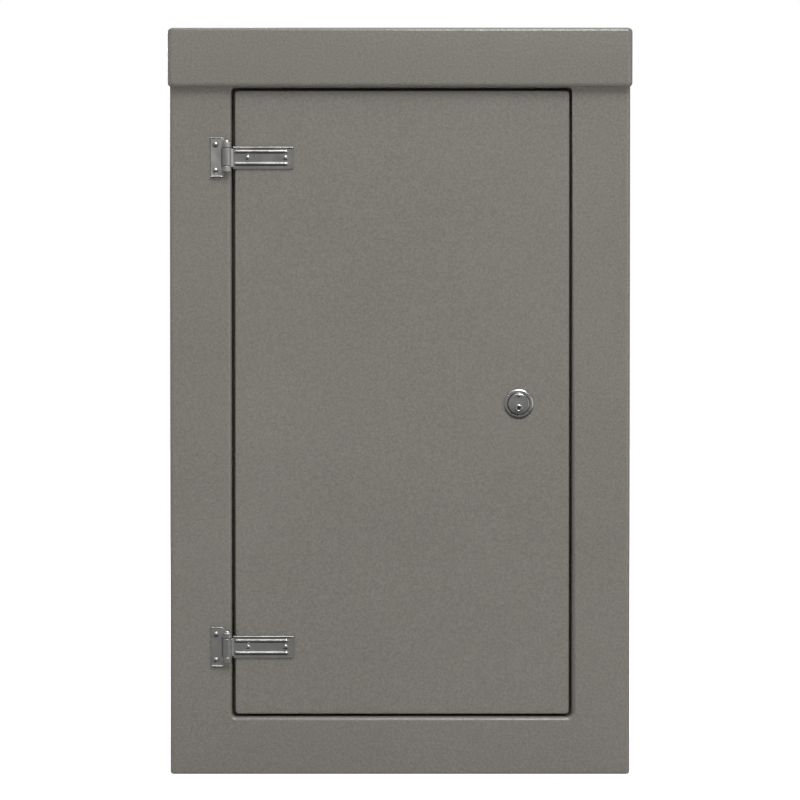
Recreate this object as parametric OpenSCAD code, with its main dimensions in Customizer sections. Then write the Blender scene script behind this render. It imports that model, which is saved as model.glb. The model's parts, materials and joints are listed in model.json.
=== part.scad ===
// Weatherproof GRP kiosk that houses a fire alarm control unit.
// Millimetres. +Z is up, the door faces -Y, and the origin is at the
// bottom centre of the whole object, on the surface that it stands on.

/* [Cabinet] */
// Outside width of the body moulding
body_w = 766; // [750:1:800]
// Outside depth of the body moulding
body_d = 402; // [395:1:440]
// Overall height, to the top of the roof canopy
total_h = 1240; // [1200:1:1300]
// Thickness of the GRP laminate
wall = 5; // [4:0.5:6]
// Radius of the body's upright corners
corner_r = 8; // [4:1:12]
// Height of the sill below the door opening
sill_h = 96; // [90:1:110]
// Width of the front frame on the hinge side
frame_left = 103; // [95:1:110]
// Width of the front frame on the lock side
frame_right = 97; // [90:1:105]
// Radius of the corners of the door opening
opening_r = 7; // [4:1:8]

/* [Roof canopy] */
// Height of the canopy's fascia
canopy_h = 96; // [90:1:110]
// How far the canopy stands out over the door
canopy_lip = 16; // [16:1:20]
// How far the canopy stands out at each side and at the back
canopy_side = 2; // [2:1:6]
// How far the roof falls from front to back
roof_fall = 8; // [4:1:10]

/* [Door] */
// Depth of the door moulding
door_t = 28; // [26:1:30]
// How far the door's face lies behind the frame's face
door_recess = 3; // [2:0.5:3]
// Gap at the hinge side
gap_hinge = 5.5; // [5:0.5:7]
// Gap at the lock side
gap_lock = 4.5; // [4:0.5:6]
// Width of the stop that carries the seal
stop_w = 18; // [16:1:20]
// Thickness of the seal as it lies under the closed door
seal_t = 6; // [5:0.5:6]

/* [Hinges] */
// Height of a hinge above the door's lower edge, and below its upper edge
hinge_inset = 112; // [100:1:130]
// Outside radius of a hinge knuckle
knuckle_r = 7.5; // [7:0.25:7.5]
// Radius of a hinge pin
pin_r = 4; // [3:0.25:4]
// Length of a strap, from the pin to its tip
strap_l = 110.5; // [105:0.5:130]
// Height of a strap
strap_w = 37.6; // [34:0.2:40]

/* [Lock] */
// Radius of the lock's round rose
rose_r = 25; // [22:1:27]
// Distance of the lock from the door's free edge
lock_inset = 84; // [82:1:88]
// Reach of the cam from the lock's centre
cam_l = 68; // [66:1:70]

/* [Control unit] */
// Width of the control unit
unit_w = 240; // [240:1:244]
// Height of the control unit
unit_h = 370; // [370:1:380]
// Depth of the unit's back box
unit_box_d = 72; // [72:1:74]
// Depth of the unit's hinged cover
unit_cover_d = 18; // [16:1:18]
// Travel of a push button
button_travel = 2; // [1:0.5:2]

/* [Hidden] */
$fn = 48;

grp = "#797670";
grp_inner = "#8f8d86";
steel = "silver";
red = "firebrick";
pvc = "whitesmoke";
black = "#202020";
brass = "#b9975b";
ply = "burlywood";

clear = 0.05;         // radial running clearance of a pin, plug or bolt
touch = 0.3;          // gap between faces that move past each other

// Body and canopy
canopy_w = body_w + 2 * canopy_side;
canopy_d = canopy_lip + body_d + canopy_side;
front_y = -canopy_d / 2 + canopy_lip;
back_y = front_y + body_d;
canopy_z = total_h - canopy_h;
inner_x = body_w / 2 - wall;
inner_y = [front_y + wall, back_y - wall];
canopy_inner_x = canopy_w / 2 - wall;
joggle_x = canopy_inner_x - 4;                 // half width of the body under the canopy
joggle_back_y = canopy_d / 2 - wall - 4;
shell_top = canopy_z + 69;
top_flange_w = 35;
canopy_bolt_r = 4;
canopy_bolt_x = joggle_x - wall - 18;
canopy_bolt_y = [inner_y[0] + 18, joggle_back_y - wall - 18];

// Holding-down flange
base_t = 6;
base_flange_w = 50;
anchor_r = 7;
anchor_x = 345;
anchor_y = [-164, 176];

// Door opening, door and stop
open_x = [-body_w / 2 + frame_left, body_w / 2 - frame_right];
open_z = [sill_h, canopy_z - 1];
door_x = [open_x[0] + gap_hinge, open_x[1] - gap_lock];
door_z = [open_z[0] + 4.5, open_z[1] - 5];
door_y = [front_y + door_recess, front_y + door_recess + door_t];
stop_y = [door_y[1] + seal_t, door_y[1] + seal_t + wall];
liner_t = 8;
rib_h = 40;
rib_z = [230, 505, 740, 1000];
rib_x = [-235, 240];

// Hinges
hinge_z = [door_z[1] - hinge_inset, door_z[0] + hinge_inset];   // upper, lower
pin_x = open_x[0] - 7;
pin_y = front_y - 8;
leaf_t = 3;
leaf_x = pin_x - 27;
leaf_h = 67;
leaf_bolt_x = pin_x - 19.2;
leaf_bolt_z = 21.4;
knuckle_gap = 15.3;
knuckle_end = 25;
strap_t = 2.5;
strap_x = [open_x[0] + 3, pin_x + strap_l];
strap_y = door_y[0] - 0.2;
strap_bolt_x = [pin_x + 34.9, pin_x + 95.4];
strap_rib_z = 10.2;
bolt_r = 3.2;
bolt_head_r = 5;

// Lock
lock_x = door_x[1] - lock_inset;
lock_z = (door_z[0] + door_z[1]) / 2 - 2;
rose_t = 3;
plug_r = 7;
barrel_r = 13.5;
barrel_end_y = stop_y[1] + 2;
keep_t = 2.5;
keep_y = [stop_y[1], stop_y[1] + keep_t];
cam_y = [keep_y[1] + 0.5, keep_y[1] + 3.5];
cam_w = 20;
cover_r = 17.5;
cover_pivot_z = 14;
cover_nub_z = -7;
rivet_r = 2;
stud_r = 4;
keep_screw_x = open_x[1] - 8;
keep_screw_z = [-22, 22];

// Back board
batten_t = 20;
board_t = 12;
board_x = 320;
board_z = [130, 1100];
board_y = inner_y[1] - batten_t - board_t;
batten_z = [180, 590, 1000];
batten_h = 50;

// Control unit, on the back board
unit_x = [-unit_w / 2, unit_w / 2];
unit_z = [615, 615 + unit_h];
unit_y = board_y - unit_box_d;
cover_y = unit_y - unit_cover_d;
sheet = 1.5;
unit_hinge_x = unit_x[0] - 4;
unit_hinge_z = [unit_z[0] + 50, unit_z[1] - 50];
fascia_y = cover_y - 1;
fascia_z = [unit_z[0] + 175, unit_z[1] - 20];
button_z = fascia_z[0] + 48;
button_x = [-72, -28, 16, 60];
button_r = 9;
display_x = [-84, 26];
display_z = [fascia_z[1] - 66, fascia_z[1] - 16];
lamp_x = [48, 66, 84];
lamp_z = [for (i = [0:4]) fascia_z[1] - 18 - i * 11];
access_x = 88;
access_z = fascia_z[0] + 20;
unit_lock_x = 98;
unit_lock_z = 700;
pcb_z = [unit_z[0] + 215, unit_z[1] - 17];
pcb_x = 108;
pcb_y = board_y - 13;
pcb_t = 1.6;
terminal_h = 12;
battery = [151, 65, 94];
battery_x = unit_x[1] - 6 - battery[0];
battery_y = board_y - sheet - battery[1];
battery_z = [unit_z[0] + sheet, unit_z[0] + sheet + battery[2] + 12];
supply_x = [unit_x[0] + 6, unit_x[0] + 70];
supply_z = [unit_z[0] + 8, unit_z[0] + 180];
supply_d = 40;

// Supply spur and conduits
spur_x = -226;
spur_z = 818;
spur_w = 87;
spur_box_d = 35;
conduit_r = 10;
conduit_y = board_y - 20;
conduit_low = 140;
conduit_end_x = unit_x[1] - 6;
bend_r = 30;
loop_x = 158;
loop_turn_z = 865;
sounder_x = 206;
sounder_turn_z = 905;
saddle_z = [240, 520];

// Wires in the unit, each a radius and a list of points
battery_top = battery_z[1] + battery[2] + 6;
link_z = battery_z[0] + battery[2] + 6;
tab_y = battery_y + 12.5;
tab_x = [battery_x + 12, battery_x + battery[0] - 12];
pcb_face = pcb_y - pcb_t;
supply_top = supply_z[1];
terminal_z = pcb_z[1] - 14;
wires = [
    // battery to board, positive and negative
    [1.6, [[tab_x[0], tab_y, battery_top], [tab_x[0], tab_y, 825], [-24, 121, 830],
           [-20, 135, 834], [-20, 147, 837], [-20, pcb_face, 837]]],
    [1.6, [[tab_x[1], tab_y, battery_top], [tab_x[1], tab_y, 824], [85, 119, 829],
           [30, 130, 834], [0, 138, 836], [-4, 147, 838], [-4, pcb_face, 838]]],
    // link between the two batteries
    [1.6, [[tab_x[1], tab_y, link_z], [tab_x[1], tab_y, link_z + 1.5], [96, 113, 719.2],
           [86, 106, 719.2], [74, 101, 719.2], [50, 100.9, 724], [20, 100.9, 745],
           [0, 100.9, 780], [-8, 101, 806], [-8, 106, 822], [0, 113, 826],
           [tab_x[0] + 16, tab_y, 825.5], [tab_x[0] + 2.8, tab_y, 824.6]]],
    // supply conduit to the power supply
    [1.4, [[-conduit_end_x, 149, spur_z + 3], [-107, 147, 819], [-100, 141, 812],
           [-99, 138, 803], [-99, 138, supply_top]]],
    [1.4, [[-conduit_end_x, 153, spur_z - 2], [-104, 153, 815], [-92, 146, 809],
           [-88, 139, 802], [-88, 138, supply_top]]],
    // power supply to board
    [1.4, [[-64, 138, supply_top], [-64, 138, 806], [-62, 142, 824], [-60, 148, 838],
           [-60, pcb_face, 838]]],
    [1.4, [[-56, 138, supply_top], [-56, 138, 804], [-53, 142, 822], [-50, 148, 838],
           [-50, pcb_face, 838]]],
    // detection loop to its terminals
    [1.2, [[conduit_end_x, 149, loop_turn_z + 3], [108, 149, 869], [101, 149, 880],
           [97, 150, 905], [84, 151, 930], [75, 149, 944], [75, 149, terminal_z]]],
    [1.2, [[conduit_end_x, 153, loop_turn_z - 1], [106, 152, 869], [96, 152, 884],
           [91, 152, 905], [74, 151.5, 928], [63, 150, 944], [63, 149, terminal_z]]],
    // sounder circuit to its terminals
    [1.2, [[conduit_end_x, 149, sounder_turn_z + 3], [109, 146, 912], [103, 143, 921],
           [58, 142, 937], [21, 147, 944], [15, 149, 949], [15, 149, terminal_z]]],
    [1.2, [[conduit_end_x, 153, sounder_turn_z - 1], [107, 151, 907], [101, 147, 914],
           [80, 143.6, 923], [48, 144.6, 930], [12, 148, 939], [3, 149, 947],
           [3, 149, terminal_z]]]
];

// ---------------------------------------------------------------- helpers

// A box given by its two ends along each axis
module span(x, y, z) {
    translate([x[0], y[0], z[0]])
        cube([x[1] - x[0], y[1] - y[0], z[1] - z[0]]);
}

// A rod along Y
module rod_y(x, z, y, r) {
    translate([x, y[0], z]) rotate([-90, 0, 0]) cylinder(h = y[1] - y[0], r = r);
}

// A rod along X
module rod_x(x, y, z, r) {
    translate([x[0], y, z]) rotate([0, 90, 0]) cylinder(h = x[1] - x[0], r = r);
}

// An upright rod
module rod_z(x, y, z, r) {
    translate([x, y, z[0]]) cylinder(h = z[1] - z[0], r = r);
}

// A flat outline, drawn in X and Z, as a plate from y[0] to y[1]
module plate_y(y) {
    translate([0, y[1], 0]) rotate([90, 0, 0]) linear_extrude(y[1] - y[0]) children();
}

// A rectangle with round corners
module round_rect(x, y, r) {
    translate([x[0] + r, y[0]]) square([x[1] - x[0] - 2 * r, y[1] - y[0]]);
    translate([x[0], y[0] + r]) square([x[1] - x[0], y[1] - y[0] - 2 * r]);
    for (cx = [x[0] + r, x[1] - r], cy = [y[0] + r, y[1] - r])
        translate([cx, cy]) circle(r);
}

// An upright prism with round corners
module round_prism(x, y, z, r) {
    translate([0, 0, z[0]]) linear_extrude(z[1] - z[0]) round_rect(x, y, r);
}

// A domed head that stands on the plane y and bulges towards -Y
module dome_y(x, z, y, r, h) {
    ball = (r * r + h * h) / (2 * h);
    intersection() {
        translate([x, y + ball - h, z]) sphere(ball);
        rod_y(x, z, [y - h, y], r);
    }
}

// A round tube of eight sides swept along a list of points
module wire(points, r) {
    sides = 8;
    n = len(points);
    heading = [for (i = [0:n - 1])
        let (d = points[min(i + 1, n - 1)] - points[max(i - 1, 0)]) d / norm(d)];
    across = [for (h = heading)
        let (s = cross(h, [0, 1, 0]), t = norm(s) > 0.1 ? s : cross(h, [0, 0, 1])) t / norm(t)];
    rings = [for (i = [0:n - 1], k = [0:sides - 1])
        let (a = 360 * k / sides)
        points[i] + r * (cos(a) * across[i] + sin(a) * cross(heading[i], across[i]))];
    walls = [for (i = [0:n - 2], k = [0:sides - 1])
        let (a = i * sides + k, b = i * sides + (k + 1) % sides) [a, a + sides, b + sides, b]];
    ends = [[for (k = [0:sides - 1]) k], [for (k = [sides - 1:-1:0]) (n - 1) * sides + k]];
    polyhedron(rings, concat(walls, ends), convexity = 6);
}

// ---------------------------------------------------------------- cabinet

// Outline of the door opening, grown by an amount
module opening_outline(grow)
    round_rect([open_x[0] - grow, open_x[1] + grow], [open_z[0] - grow, open_z[1] + grow],
               max(opening_r + grow, 2));

// The ring around the door opening, between two growths and two depths
module door_ring(outer, inner, y) difference() {
    plate_y(y) opening_outline(outer);
    plate_y([y[0] - 1, y[1] + 1]) opening_outline(inner);
}

module shell_outside() {
    round_prism([-body_w / 2, body_w / 2], [front_y, back_y], [0, canopy_z], corner_r);
    round_prism([-joggle_x, joggle_x], [front_y, joggle_back_y],
                [canopy_z - 1, shell_top], corner_r);
}

module shell_hollow() {
    span([-inner_x, inner_x], inner_y, [base_t, canopy_z - wall]);
    span([-joggle_x + wall, joggle_x - wall], [inner_y[0], joggle_back_y - wall],
         [canopy_z - wall - 1, shell_top - wall]);
    // cable entry through the base, inside the holding-down flange
    span([-inner_x + base_flange_w, inner_x - base_flange_w],
         [inner_y[0] + base_flange_w, inner_y[1] - base_flange_w], [-1, base_t + 1]);
    // top, inside the flange that carries the canopy
    span([-joggle_x + wall + top_flange_w, joggle_x - wall - top_flange_w],
         [inner_y[0] + top_flange_w, joggle_back_y - wall - top_flange_w],
         [shell_top - wall - 1, shell_top + 1]);
}

vent_y = [-45, 85];
vent_z = [1000, 1070];

module cabinet_shell() color(grp) difference() {
    union() {
        difference() {
            shell_outside();
            shell_hollow();
            plate_y([front_y - 1, inner_y[0] + 1]) opening_outline(0);
        }
        door_ring(wall, 0, [front_y, stop_y[1]]);
        door_ring(0, -stop_w, stop_y);
    }
    for (x = [-anchor_x, anchor_x], y = anchor_y) rod_z(x, y, [-1, base_t + 1], anchor_r);
    for (x = [-canopy_bolt_x, canopy_bolt_x], y = canopy_bolt_y)
        rod_z(x, y, [shell_top - wall - 1, shell_top + 1], canopy_bolt_r + clear);
    for (h = hinge_z, z = [-leaf_bolt_z, leaf_bolt_z])
        rod_y(leaf_bolt_x, h + z, [front_y - 1, inner_y[0] + 1], bolt_r + clear);
    for (z = keep_screw_z)
        rod_y(keep_screw_x, lock_z + z, [stop_y[0] - 1, stop_y[1] + 1], 2);
    span([-body_w / 2 - 1, body_w / 2 + 1], vent_y, vent_z);
}

// Upright section of the canopy: a flat-sided fascia under a roof that falls to the back
module canopy_section(inset, bottom) {
    y = canopy_d / 2 - inset;
    polygon([[-y, bottom], [y, bottom], [y, total_h - roof_fall - inset], [-y, total_h - inset]]);
}

module canopy_prism(inset, bottom, r) {
    x = canopy_w / 2 - inset;
    y = canopy_d / 2 - inset;
    intersection() {
        round_prism([-x, x], [-y, y], [bottom, total_h], r);
        translate([-x - 1, 0, 0]) rotate([90, 0, 90])
            linear_extrude(2 * x + 2) canopy_section(inset, bottom);
    }
}

module roof_canopy() color(grp) difference() {
    union() {
        difference() {
            canopy_prism(0, canopy_z, corner_r + 2);
            canopy_prism(wall, canopy_z + wall, corner_r - 2);
            span([-joggle_x - 0.5, joggle_x + 0.5], [front_y - 0.5, joggle_back_y + 0.5],
                 [canopy_z - 1, canopy_z + wall + 1]);
        }
        // pads on the roof's underside that take the bolts
        intersection() {
            for (x = [-canopy_bolt_x, canopy_bolt_x], y = canopy_bolt_y)
                rod_z(x, y, [shell_top, total_h], 15);
            canopy_prism(wall - 1, canopy_z, corner_r);
        }
    }
    for (x = [-canopy_bolt_x, canopy_bolt_x], y = canopy_bolt_y)
        rod_z(x, y, [shell_top - 1, shell_top + 15], canopy_bolt_r + clear);
}

module canopy_bolts() color(steel)
    for (x = [-canopy_bolt_x, canopy_bolt_x], y = canopy_bolt_y) {
        rod_z(x, y, [shell_top - wall - 1, shell_top + 14], canopy_bolt_r);
        rod_z(x, y, [shell_top - wall - 1.6, shell_top - wall], 9);
        translate([x, y, shell_top - wall - 7]) cylinder(h = 5.5, r = 7.5, $fn = 6);
    }

module door_seal() color(black)
    door_ring(-3, -15, [stop_y[0] - seal_t + touch, stop_y[0]]);

// A moulded louvre that clips into a side wall. side is -1 for left and 1 for right.
module side_vent(side) {
    rim = 12;
    frame_t = 2;
    slats = 6;
    slat_tilt = 35;
    slat_depth = 2.5;
    face_x = side * body_w / 2;
    front_x = [face_x, face_x + side * frame_t];
    collar_x = [face_x - side * wall, face_x + side];
    pitch = (vent_z[1] - vent_z[0] - 4) / slats;
    difference() {
        union() {
            span([min(front_x), max(front_x)], [vent_y[0] - rim, vent_y[1] + rim],
                 [vent_z[0] - rim, vent_z[1] + rim]);
            span([min(collar_x), max(collar_x)], [vent_y[0] + 0.5, vent_y[1] - 0.5],
                 [vent_z[0] + 0.5, vent_z[1] - 0.5]);
        }
        span([face_x - 2 * wall, face_x + 2 * wall], [vent_y[0] + 2, vent_y[1] - 2],
             [vent_z[0] + 2, vent_z[1] - 2]);
    }
    for (i = [0:slats - 1])
        translate([face_x - side * slat_depth, vent_y[0] + 1, vent_z[0] + 2 + (i + 0.5) * pitch])
            rotate([0, side * slat_tilt, 0])
            translate([-4, 0, -0.9]) cube([8, vent_y[1] - vent_y[0] - 2, 1.8]);
}

module side_vents() color(black)
    for (side = [-1, 1]) side_vent(side);

// ---------------------------------------------------------------- hinges

// Outline of the fixed leaf, about the hinge's own centre height
module leaf_outline() {
    h = leaf_h / 2;
    polygon([
        [leaf_x, -h], [pin_x - 8, -h], [pin_x, -knuckle_end], [pin_x, -knuckle_gap],
        [pin_x - 9, -knuckle_gap], [pin_x - 9, knuckle_gap], [pin_x, knuckle_gap],
        [pin_x, knuckle_end], [pin_x - 8, h], [leaf_x, h]
    ]);
}

module hinge_leaf(z) translate([0, 0, z]) difference() {
    union() {
        plate_y([front_y - leaf_t, front_y]) leaf_outline();
        for (side = [-1, 1]) {
            ends = [side * knuckle_gap, side * knuckle_end];
            rod_z(pin_x, pin_y, [min(ends), max(ends)], knuckle_r);
            edge = side * (leaf_h / 2 - 1.2);
            span([leaf_x, pin_x - 10], [front_y - leaf_t - 1.5, front_y - leaf_t],
                 [edge - 1.2, edge + 1.2]);
        }
    }
    rod_z(pin_x, pin_y, [-knuckle_end - 1, knuckle_end + 1], pin_r + clear);
    for (dz = [-leaf_bolt_z, leaf_bolt_z])
        rod_y(leaf_bolt_x, dz, [front_y - leaf_t - 1, front_y + 1], bolt_r + clear);
}

module hinge_leaf_upper() color(steel) hinge_leaf(hinge_z[0]);

module hinge_leaf_lower() color(steel) hinge_leaf(hinge_z[1]);

module hinge_pins() color(steel)
    for (z = hinge_z) {
        rod_z(pin_x, pin_y, [z - knuckle_end - 1.5, z + knuckle_end], pin_r);
        translate([pin_x, pin_y, z + knuckle_end]) intersection() {
            translate([0, 0, -1.5]) sphere(6);
            cylinder(h = 5, r = 6);
        }
    }

module leaf_bolts() color(steel)
    for (h = hinge_z, dz = [-leaf_bolt_z, leaf_bolt_z]) {
        rod_y(leaf_bolt_x, h + dz, [front_y - leaf_t - 0.5, inner_y[0] + 8], bolt_r);
        dome_y(leaf_bolt_x, h + dz, front_y - leaf_t, bolt_head_r, 2.6);
    }

module leaf_nut_plates() color(steel)
    for (h = hinge_z) difference() {
        union() {
            span([leaf_bolt_x - 12, leaf_bolt_x + 12], [inner_y[0], inner_y[0] + 2],
                 [h - 32, h + 32]);
            for (dz = [-leaf_bolt_z, leaf_bolt_z])
                translate([leaf_bolt_x, inner_y[0] + 2, h + dz]) rotate([-90, 0, 0])
                    cylinder(h = 5, r = 6.4, $fn = 6);
        }
        for (dz = [-leaf_bolt_z, leaf_bolt_z])
            rod_y(leaf_bolt_x, h + dz, [inner_y[0] - 1, inner_y[0] + 9], bolt_r + clear);
    }

// Section of the strap's root: it leaves the knuckle and steps back on to the door's face
module strap_root_outline() {
    back = pin_y + knuckle_r;
    polygon([
        [pin_x, back - 3], [pin_x, back], [open_x[0] + 0.6, back], [open_x[0] + 3, strap_y],
        [open_x[0] + 14, strap_y], [open_x[0] + 14, strap_y - strap_t],
        [open_x[0] + 4, strap_y - strap_t], [open_x[0] + 1, back - 3]
    ]);
}

module hinge_strap(z) translate([0, 0, z]) difference() {
    union() {
        rod_z(pin_x, pin_y, [-knuckle_gap + touch, knuckle_gap - touch], knuckle_r);
        translate([0, 0, -knuckle_gap + touch])
            linear_extrude(2 * (knuckle_gap - touch)) strap_root_outline();
        span(strap_x, [strap_y - strap_t, strap_y], [-strap_w / 2, strap_w / 2]);
        for (rz = [-strap_rib_z, strap_rib_z])
            intersection() {
                rod_x([strap_x[0] + 1, strap_x[1] - 11], strap_y - strap_t + 0.6, rz, 3);
                span([strap_x[0], strap_x[1]], [strap_y - 10, strap_y - 0.5], [-20, 20]);
            }
    }
    rod_z(pin_x, pin_y, [-knuckle_end, knuckle_end], pin_r + clear);
    for (x = strap_bolt_x)
        rod_y(x, 0, [strap_y - strap_t - 1, strap_y + 1], bolt_r + clear);
}

module hinge_strap_upper() color(steel) hinge_strap(hinge_z[0]);

module hinge_strap_lower() color(steel) hinge_strap(hinge_z[1]);

module strap_bolts() color(steel)
    for (h = hinge_z, x = strap_bolt_x) {
        rod_y(x, h, [strap_y - strap_t - 0.5, door_y[0] + wall + 7], bolt_r);
        dome_y(x, h, strap_y - strap_t, bolt_head_r, 2.6);
        translate([x, door_y[0] + wall, h]) rotate([-90, 0, 0]) cylinder(h = 5, r = 6, $fn = 6);
    }

// ---------------------------------------------------------------- door and lock

module door_skin() color(grp) difference() {
    plate_y(door_y) round_rect(door_x, door_z, 6);
    span([door_x[0] + wall, door_x[1] - wall], [door_y[0] + wall, door_y[1] + 1],
         [door_z[0] + wall, door_z[1] - wall]);
    rod_y(lock_x, lock_z, [door_y[0] - 1, door_y[0] + wall + 1], barrel_r + 0.5);
    for (h = hinge_z, x = strap_bolt_x)
        rod_y(x, h, [door_y[0] - 1, door_y[0] + wall + 1], bolt_r + clear);
}

// Plywood between the skin and the liner
module door_core() color(ply) difference() {
    span([door_x[0] + wall, door_x[1] - wall], [door_y[0] + wall, door_y[1] - liner_t],
         [door_z[0] + wall, door_z[1] - wall]);
    rod_y(lock_x, lock_z, [door_y[0], door_y[1]], barrel_r + 0.5);
    for (h = hinge_z, x = strap_bolt_x) rod_y(x, h, [door_y[0], door_y[1]], 9);
}

module door_liner() color(grp_inner) {
    edge = wall + 0.5;
    difference() {
        span([door_x[0] + edge, door_x[1] - edge], [door_y[1] - liner_t, door_y[1]],
             [door_z[0] + edge, door_z[1] - edge]);
        rod_y(lock_x, lock_z, [door_y[1] - liner_t - 1, door_y[1] + 1], barrel_r + 0.5);
    }
    for (z = rib_z) span(rib_x, [door_y[1], door_y[1] + 8], [z, z + rib_h]);
}

module lock_rose() color(steel) difference() {
    rod_y(lock_x, lock_z, [door_y[0] - rose_t, door_y[0]], rose_r);
    rod_y(lock_x, lock_z, [door_y[0] - rose_t - 1, door_y[0] + 1], plug_r + clear);
    rod_y(lock_x, lock_z + cover_pivot_z, [door_y[0] - rose_t - 1, door_y[0] + 1], rivet_r);
}

module lock_barrel() color(steel) difference() {
    rod_y(lock_x, lock_z, [door_y[0], barrel_end_y], barrel_r);
    rod_y(lock_x, lock_z, [door_y[0] - 1, barrel_end_y + 1], plug_r + clear);
}

module lock_nut() color(steel) difference() {
    translate([lock_x, door_y[1], lock_z]) rotate([-90, 0, 0])
        cylinder(h = 6, r = 20, $fn = 6);
    rod_y(lock_x, lock_z, [door_y[1] - 1, door_y[1] + 7], barrel_r + clear);
}

module cover_rivet() color(steel) {
    front = door_y[0] - rose_t - 2.3;
    rod_y(lock_x, lock_z + cover_pivot_z, [front, door_y[0] - 0.5], rivet_r);
    dome_y(lock_x, lock_z + cover_pivot_z, front, 3.5, 1.8);
}

module keyhole_cover() color(steel) {
    y = [door_y[0] - rose_t - 2, door_y[0] - rose_t - touch];
    difference() {
        union() {
            rod_y(lock_x, lock_z, y, cover_r);
            rod_y(lock_x, lock_z + cover_nub_z, [y[0] - 2, y[0]], 6.5);
        }
        rod_y(lock_x, lock_z + cover_pivot_z, [y[0] - 1, y[1] + 1], rivet_r + clear);
        rod_y(lock_x, lock_z + cover_nub_z, [y[0] - 3, y[0] - 0.8], 2.8);
    }
}

module lock_plug() color(brass) difference() {
    union() {
        rod_y(lock_x, lock_z, [door_y[0] - rose_t + 0.5, barrel_end_y], plug_r);
        rod_y(lock_x, lock_z, [barrel_end_y - 1, cam_y[1] + 6], stud_r);
    }
    span([lock_x - 0.9, lock_x + 0.9], [door_y[0] - rose_t - 1, door_y[0] + 12],
         [lock_z - 4.5, lock_z + 4.5]);
}

module lock_cam() color(steel) difference() {
    union() {
        rod_y(lock_x, lock_z, cam_y, 12);
        span([lock_x - cam_w / 2, lock_x + cam_w / 2], cam_y, [lock_z - cam_l, lock_z]);
    }
    rod_y(lock_x, lock_z, [cam_y[0] - 1, cam_y[1] + 1], stud_r);
}

module cam_nut() color(steel) difference() {
    translate([lock_x, cam_y[1], lock_z]) rotate([-90, 0, 0])
        cylinder(h = 4.5, r = 7.5, $fn = 6);
    rod_y(lock_x, lock_z, [cam_y[1] - 1, cam_y[1] + 6], stud_r);
}

module lock_keep() color(steel) difference() {
    span([open_x[1] - stop_w - 18, open_x[1] - 1], keep_y, [lock_z - 30, lock_z + 30]);
    for (z = keep_screw_z)
        rod_y(keep_screw_x, lock_z + z, [keep_y[0] - 1, keep_y[1] + 1], 2);
}

module keep_screws() color(steel)
    for (z = keep_screw_z) {
        rod_y(keep_screw_x, lock_z + z, [stop_y[0], keep_y[1] + 1], 2);
        translate([keep_screw_x, keep_y[1], lock_z + z]) rotate([-90, 0, 0])
            cylinder(h = 3, r = 4, $fn = 6);
    }

module logbook_pocket() color(black) {
    x = [-150, 90];
    z = [290, 450];
    y = [door_y[1], door_y[1] + 22];
    difference() {
        span(x, y, z);
        span([x[0] + 2, x[1] - 2], [y[0] + 2, y[1] - 2], [z[0] + 2, z[1] + 1]);
        translate([(x[0] + x[1]) / 2, 0, z[1]]) rotate([-90, 0, 0])
            translate([0, 0, y[1] - 3]) cylinder(h = 4, r = 28);
    }
}

// ---------------------------------------------------------------- back board

module back_battens() color("tan")
    for (z = batten_z)
        span([-board_x + 20, board_x - 20], [inner_y[1] - batten_t, inner_y[1]], [z, z + batten_h]);

module back_board() color(ply)
    span([-board_x, board_x], [board_y, board_y + board_t], board_z);

// Screws that hold the board to the battens, and three that hold the unit's back box
module board_screws() color(steel) {
    for (x = [-board_x + 35, board_x - 35], z = batten_z) {
        rod_y(x, z + batten_h / 2, [board_y - 1, board_y], 8);
        dome_y(x, z + batten_h / 2, board_y - 1, 5, 2.5);
    }
    for (at = [[unit_x[0] + 25, unit_z[1] - 9], [unit_x[1] - 25, unit_z[1] - 9],
               [battery_x - 7.5, unit_z[0] + 16]])
        dome_y(at[0], at[1], board_y - sheet, 4.5, 2.5);
}

module earth_bar() color(brass) {
    x = [-50, 50];
    z = 545;
    for (end = x) rod_y(end == x[0] ? end + 8 : end - 8, z, [board_y - 16, board_y], 6);
    difference() {
        span(x, [board_y - 24, board_y - 16], [z - 6, z + 6]);
        for (i = [1:5]) rod_z(x[0] + 8 + i * 14, board_y - 20, [z - 7, z + 7], 2);
    }
    for (i = [1:5]) rod_y(x[0] + 8 + i * 14, z, [board_y - 27, board_y - 24], 3.2);
}

// ---------------------------------------------------------------- control unit

module unit_back_box() color(red) difference() {
    union() {
        difference() {
            span(unit_x, [unit_y, board_y], unit_z);
            span([unit_x[0] + sheet, unit_x[1] - sheet], [unit_y - 1, board_y - sheet],
                 [unit_z[0] + sheet, unit_z[1] - sheet]);
        }
        // return on the lock side that the cam passes behind
        span([unit_x[1] - 11, unit_x[1] - sheet + 0.1], [unit_y, unit_y + sheet],
             [unit_z[0] + sheet, unit_z[1] - sheet]);
    }
    rod_x([unit_x[0] - 1, unit_x[0] + sheet + 1], conduit_y, spur_z, conduit_r);
    for (z = [loop_turn_z, sounder_turn_z])
        rod_x([unit_x[1] - sheet - 1, unit_x[1] + 1], conduit_y, z, conduit_r);
}

module control_board() color("darkgreen") {
    span([-pcb_x, pcb_x], [pcb_face, pcb_y], pcb_z);
    for (x = [-pcb_x + 6, pcb_x - 6], z = [pcb_z[0] + 6, pcb_z[1] - 6])
        rod_y(x, z, [pcb_y, board_y - sheet], 3);
}

module terminal_blocks() color("seagreen")
    for (x = [-96, -36, 24]) {
        pitch = 6;
        ways = 9;
        front = pcb_face - terminal_h;
        difference() {
            span([x, x + pitch * ways], [front, pcb_face], [terminal_z, terminal_z + 12]);
            for (i = [0:ways - 1])
                rod_y(x + (i + 0.5) * pitch, terminal_z + 6, [front - 1, front + 3], 2);
        }
    }

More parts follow.
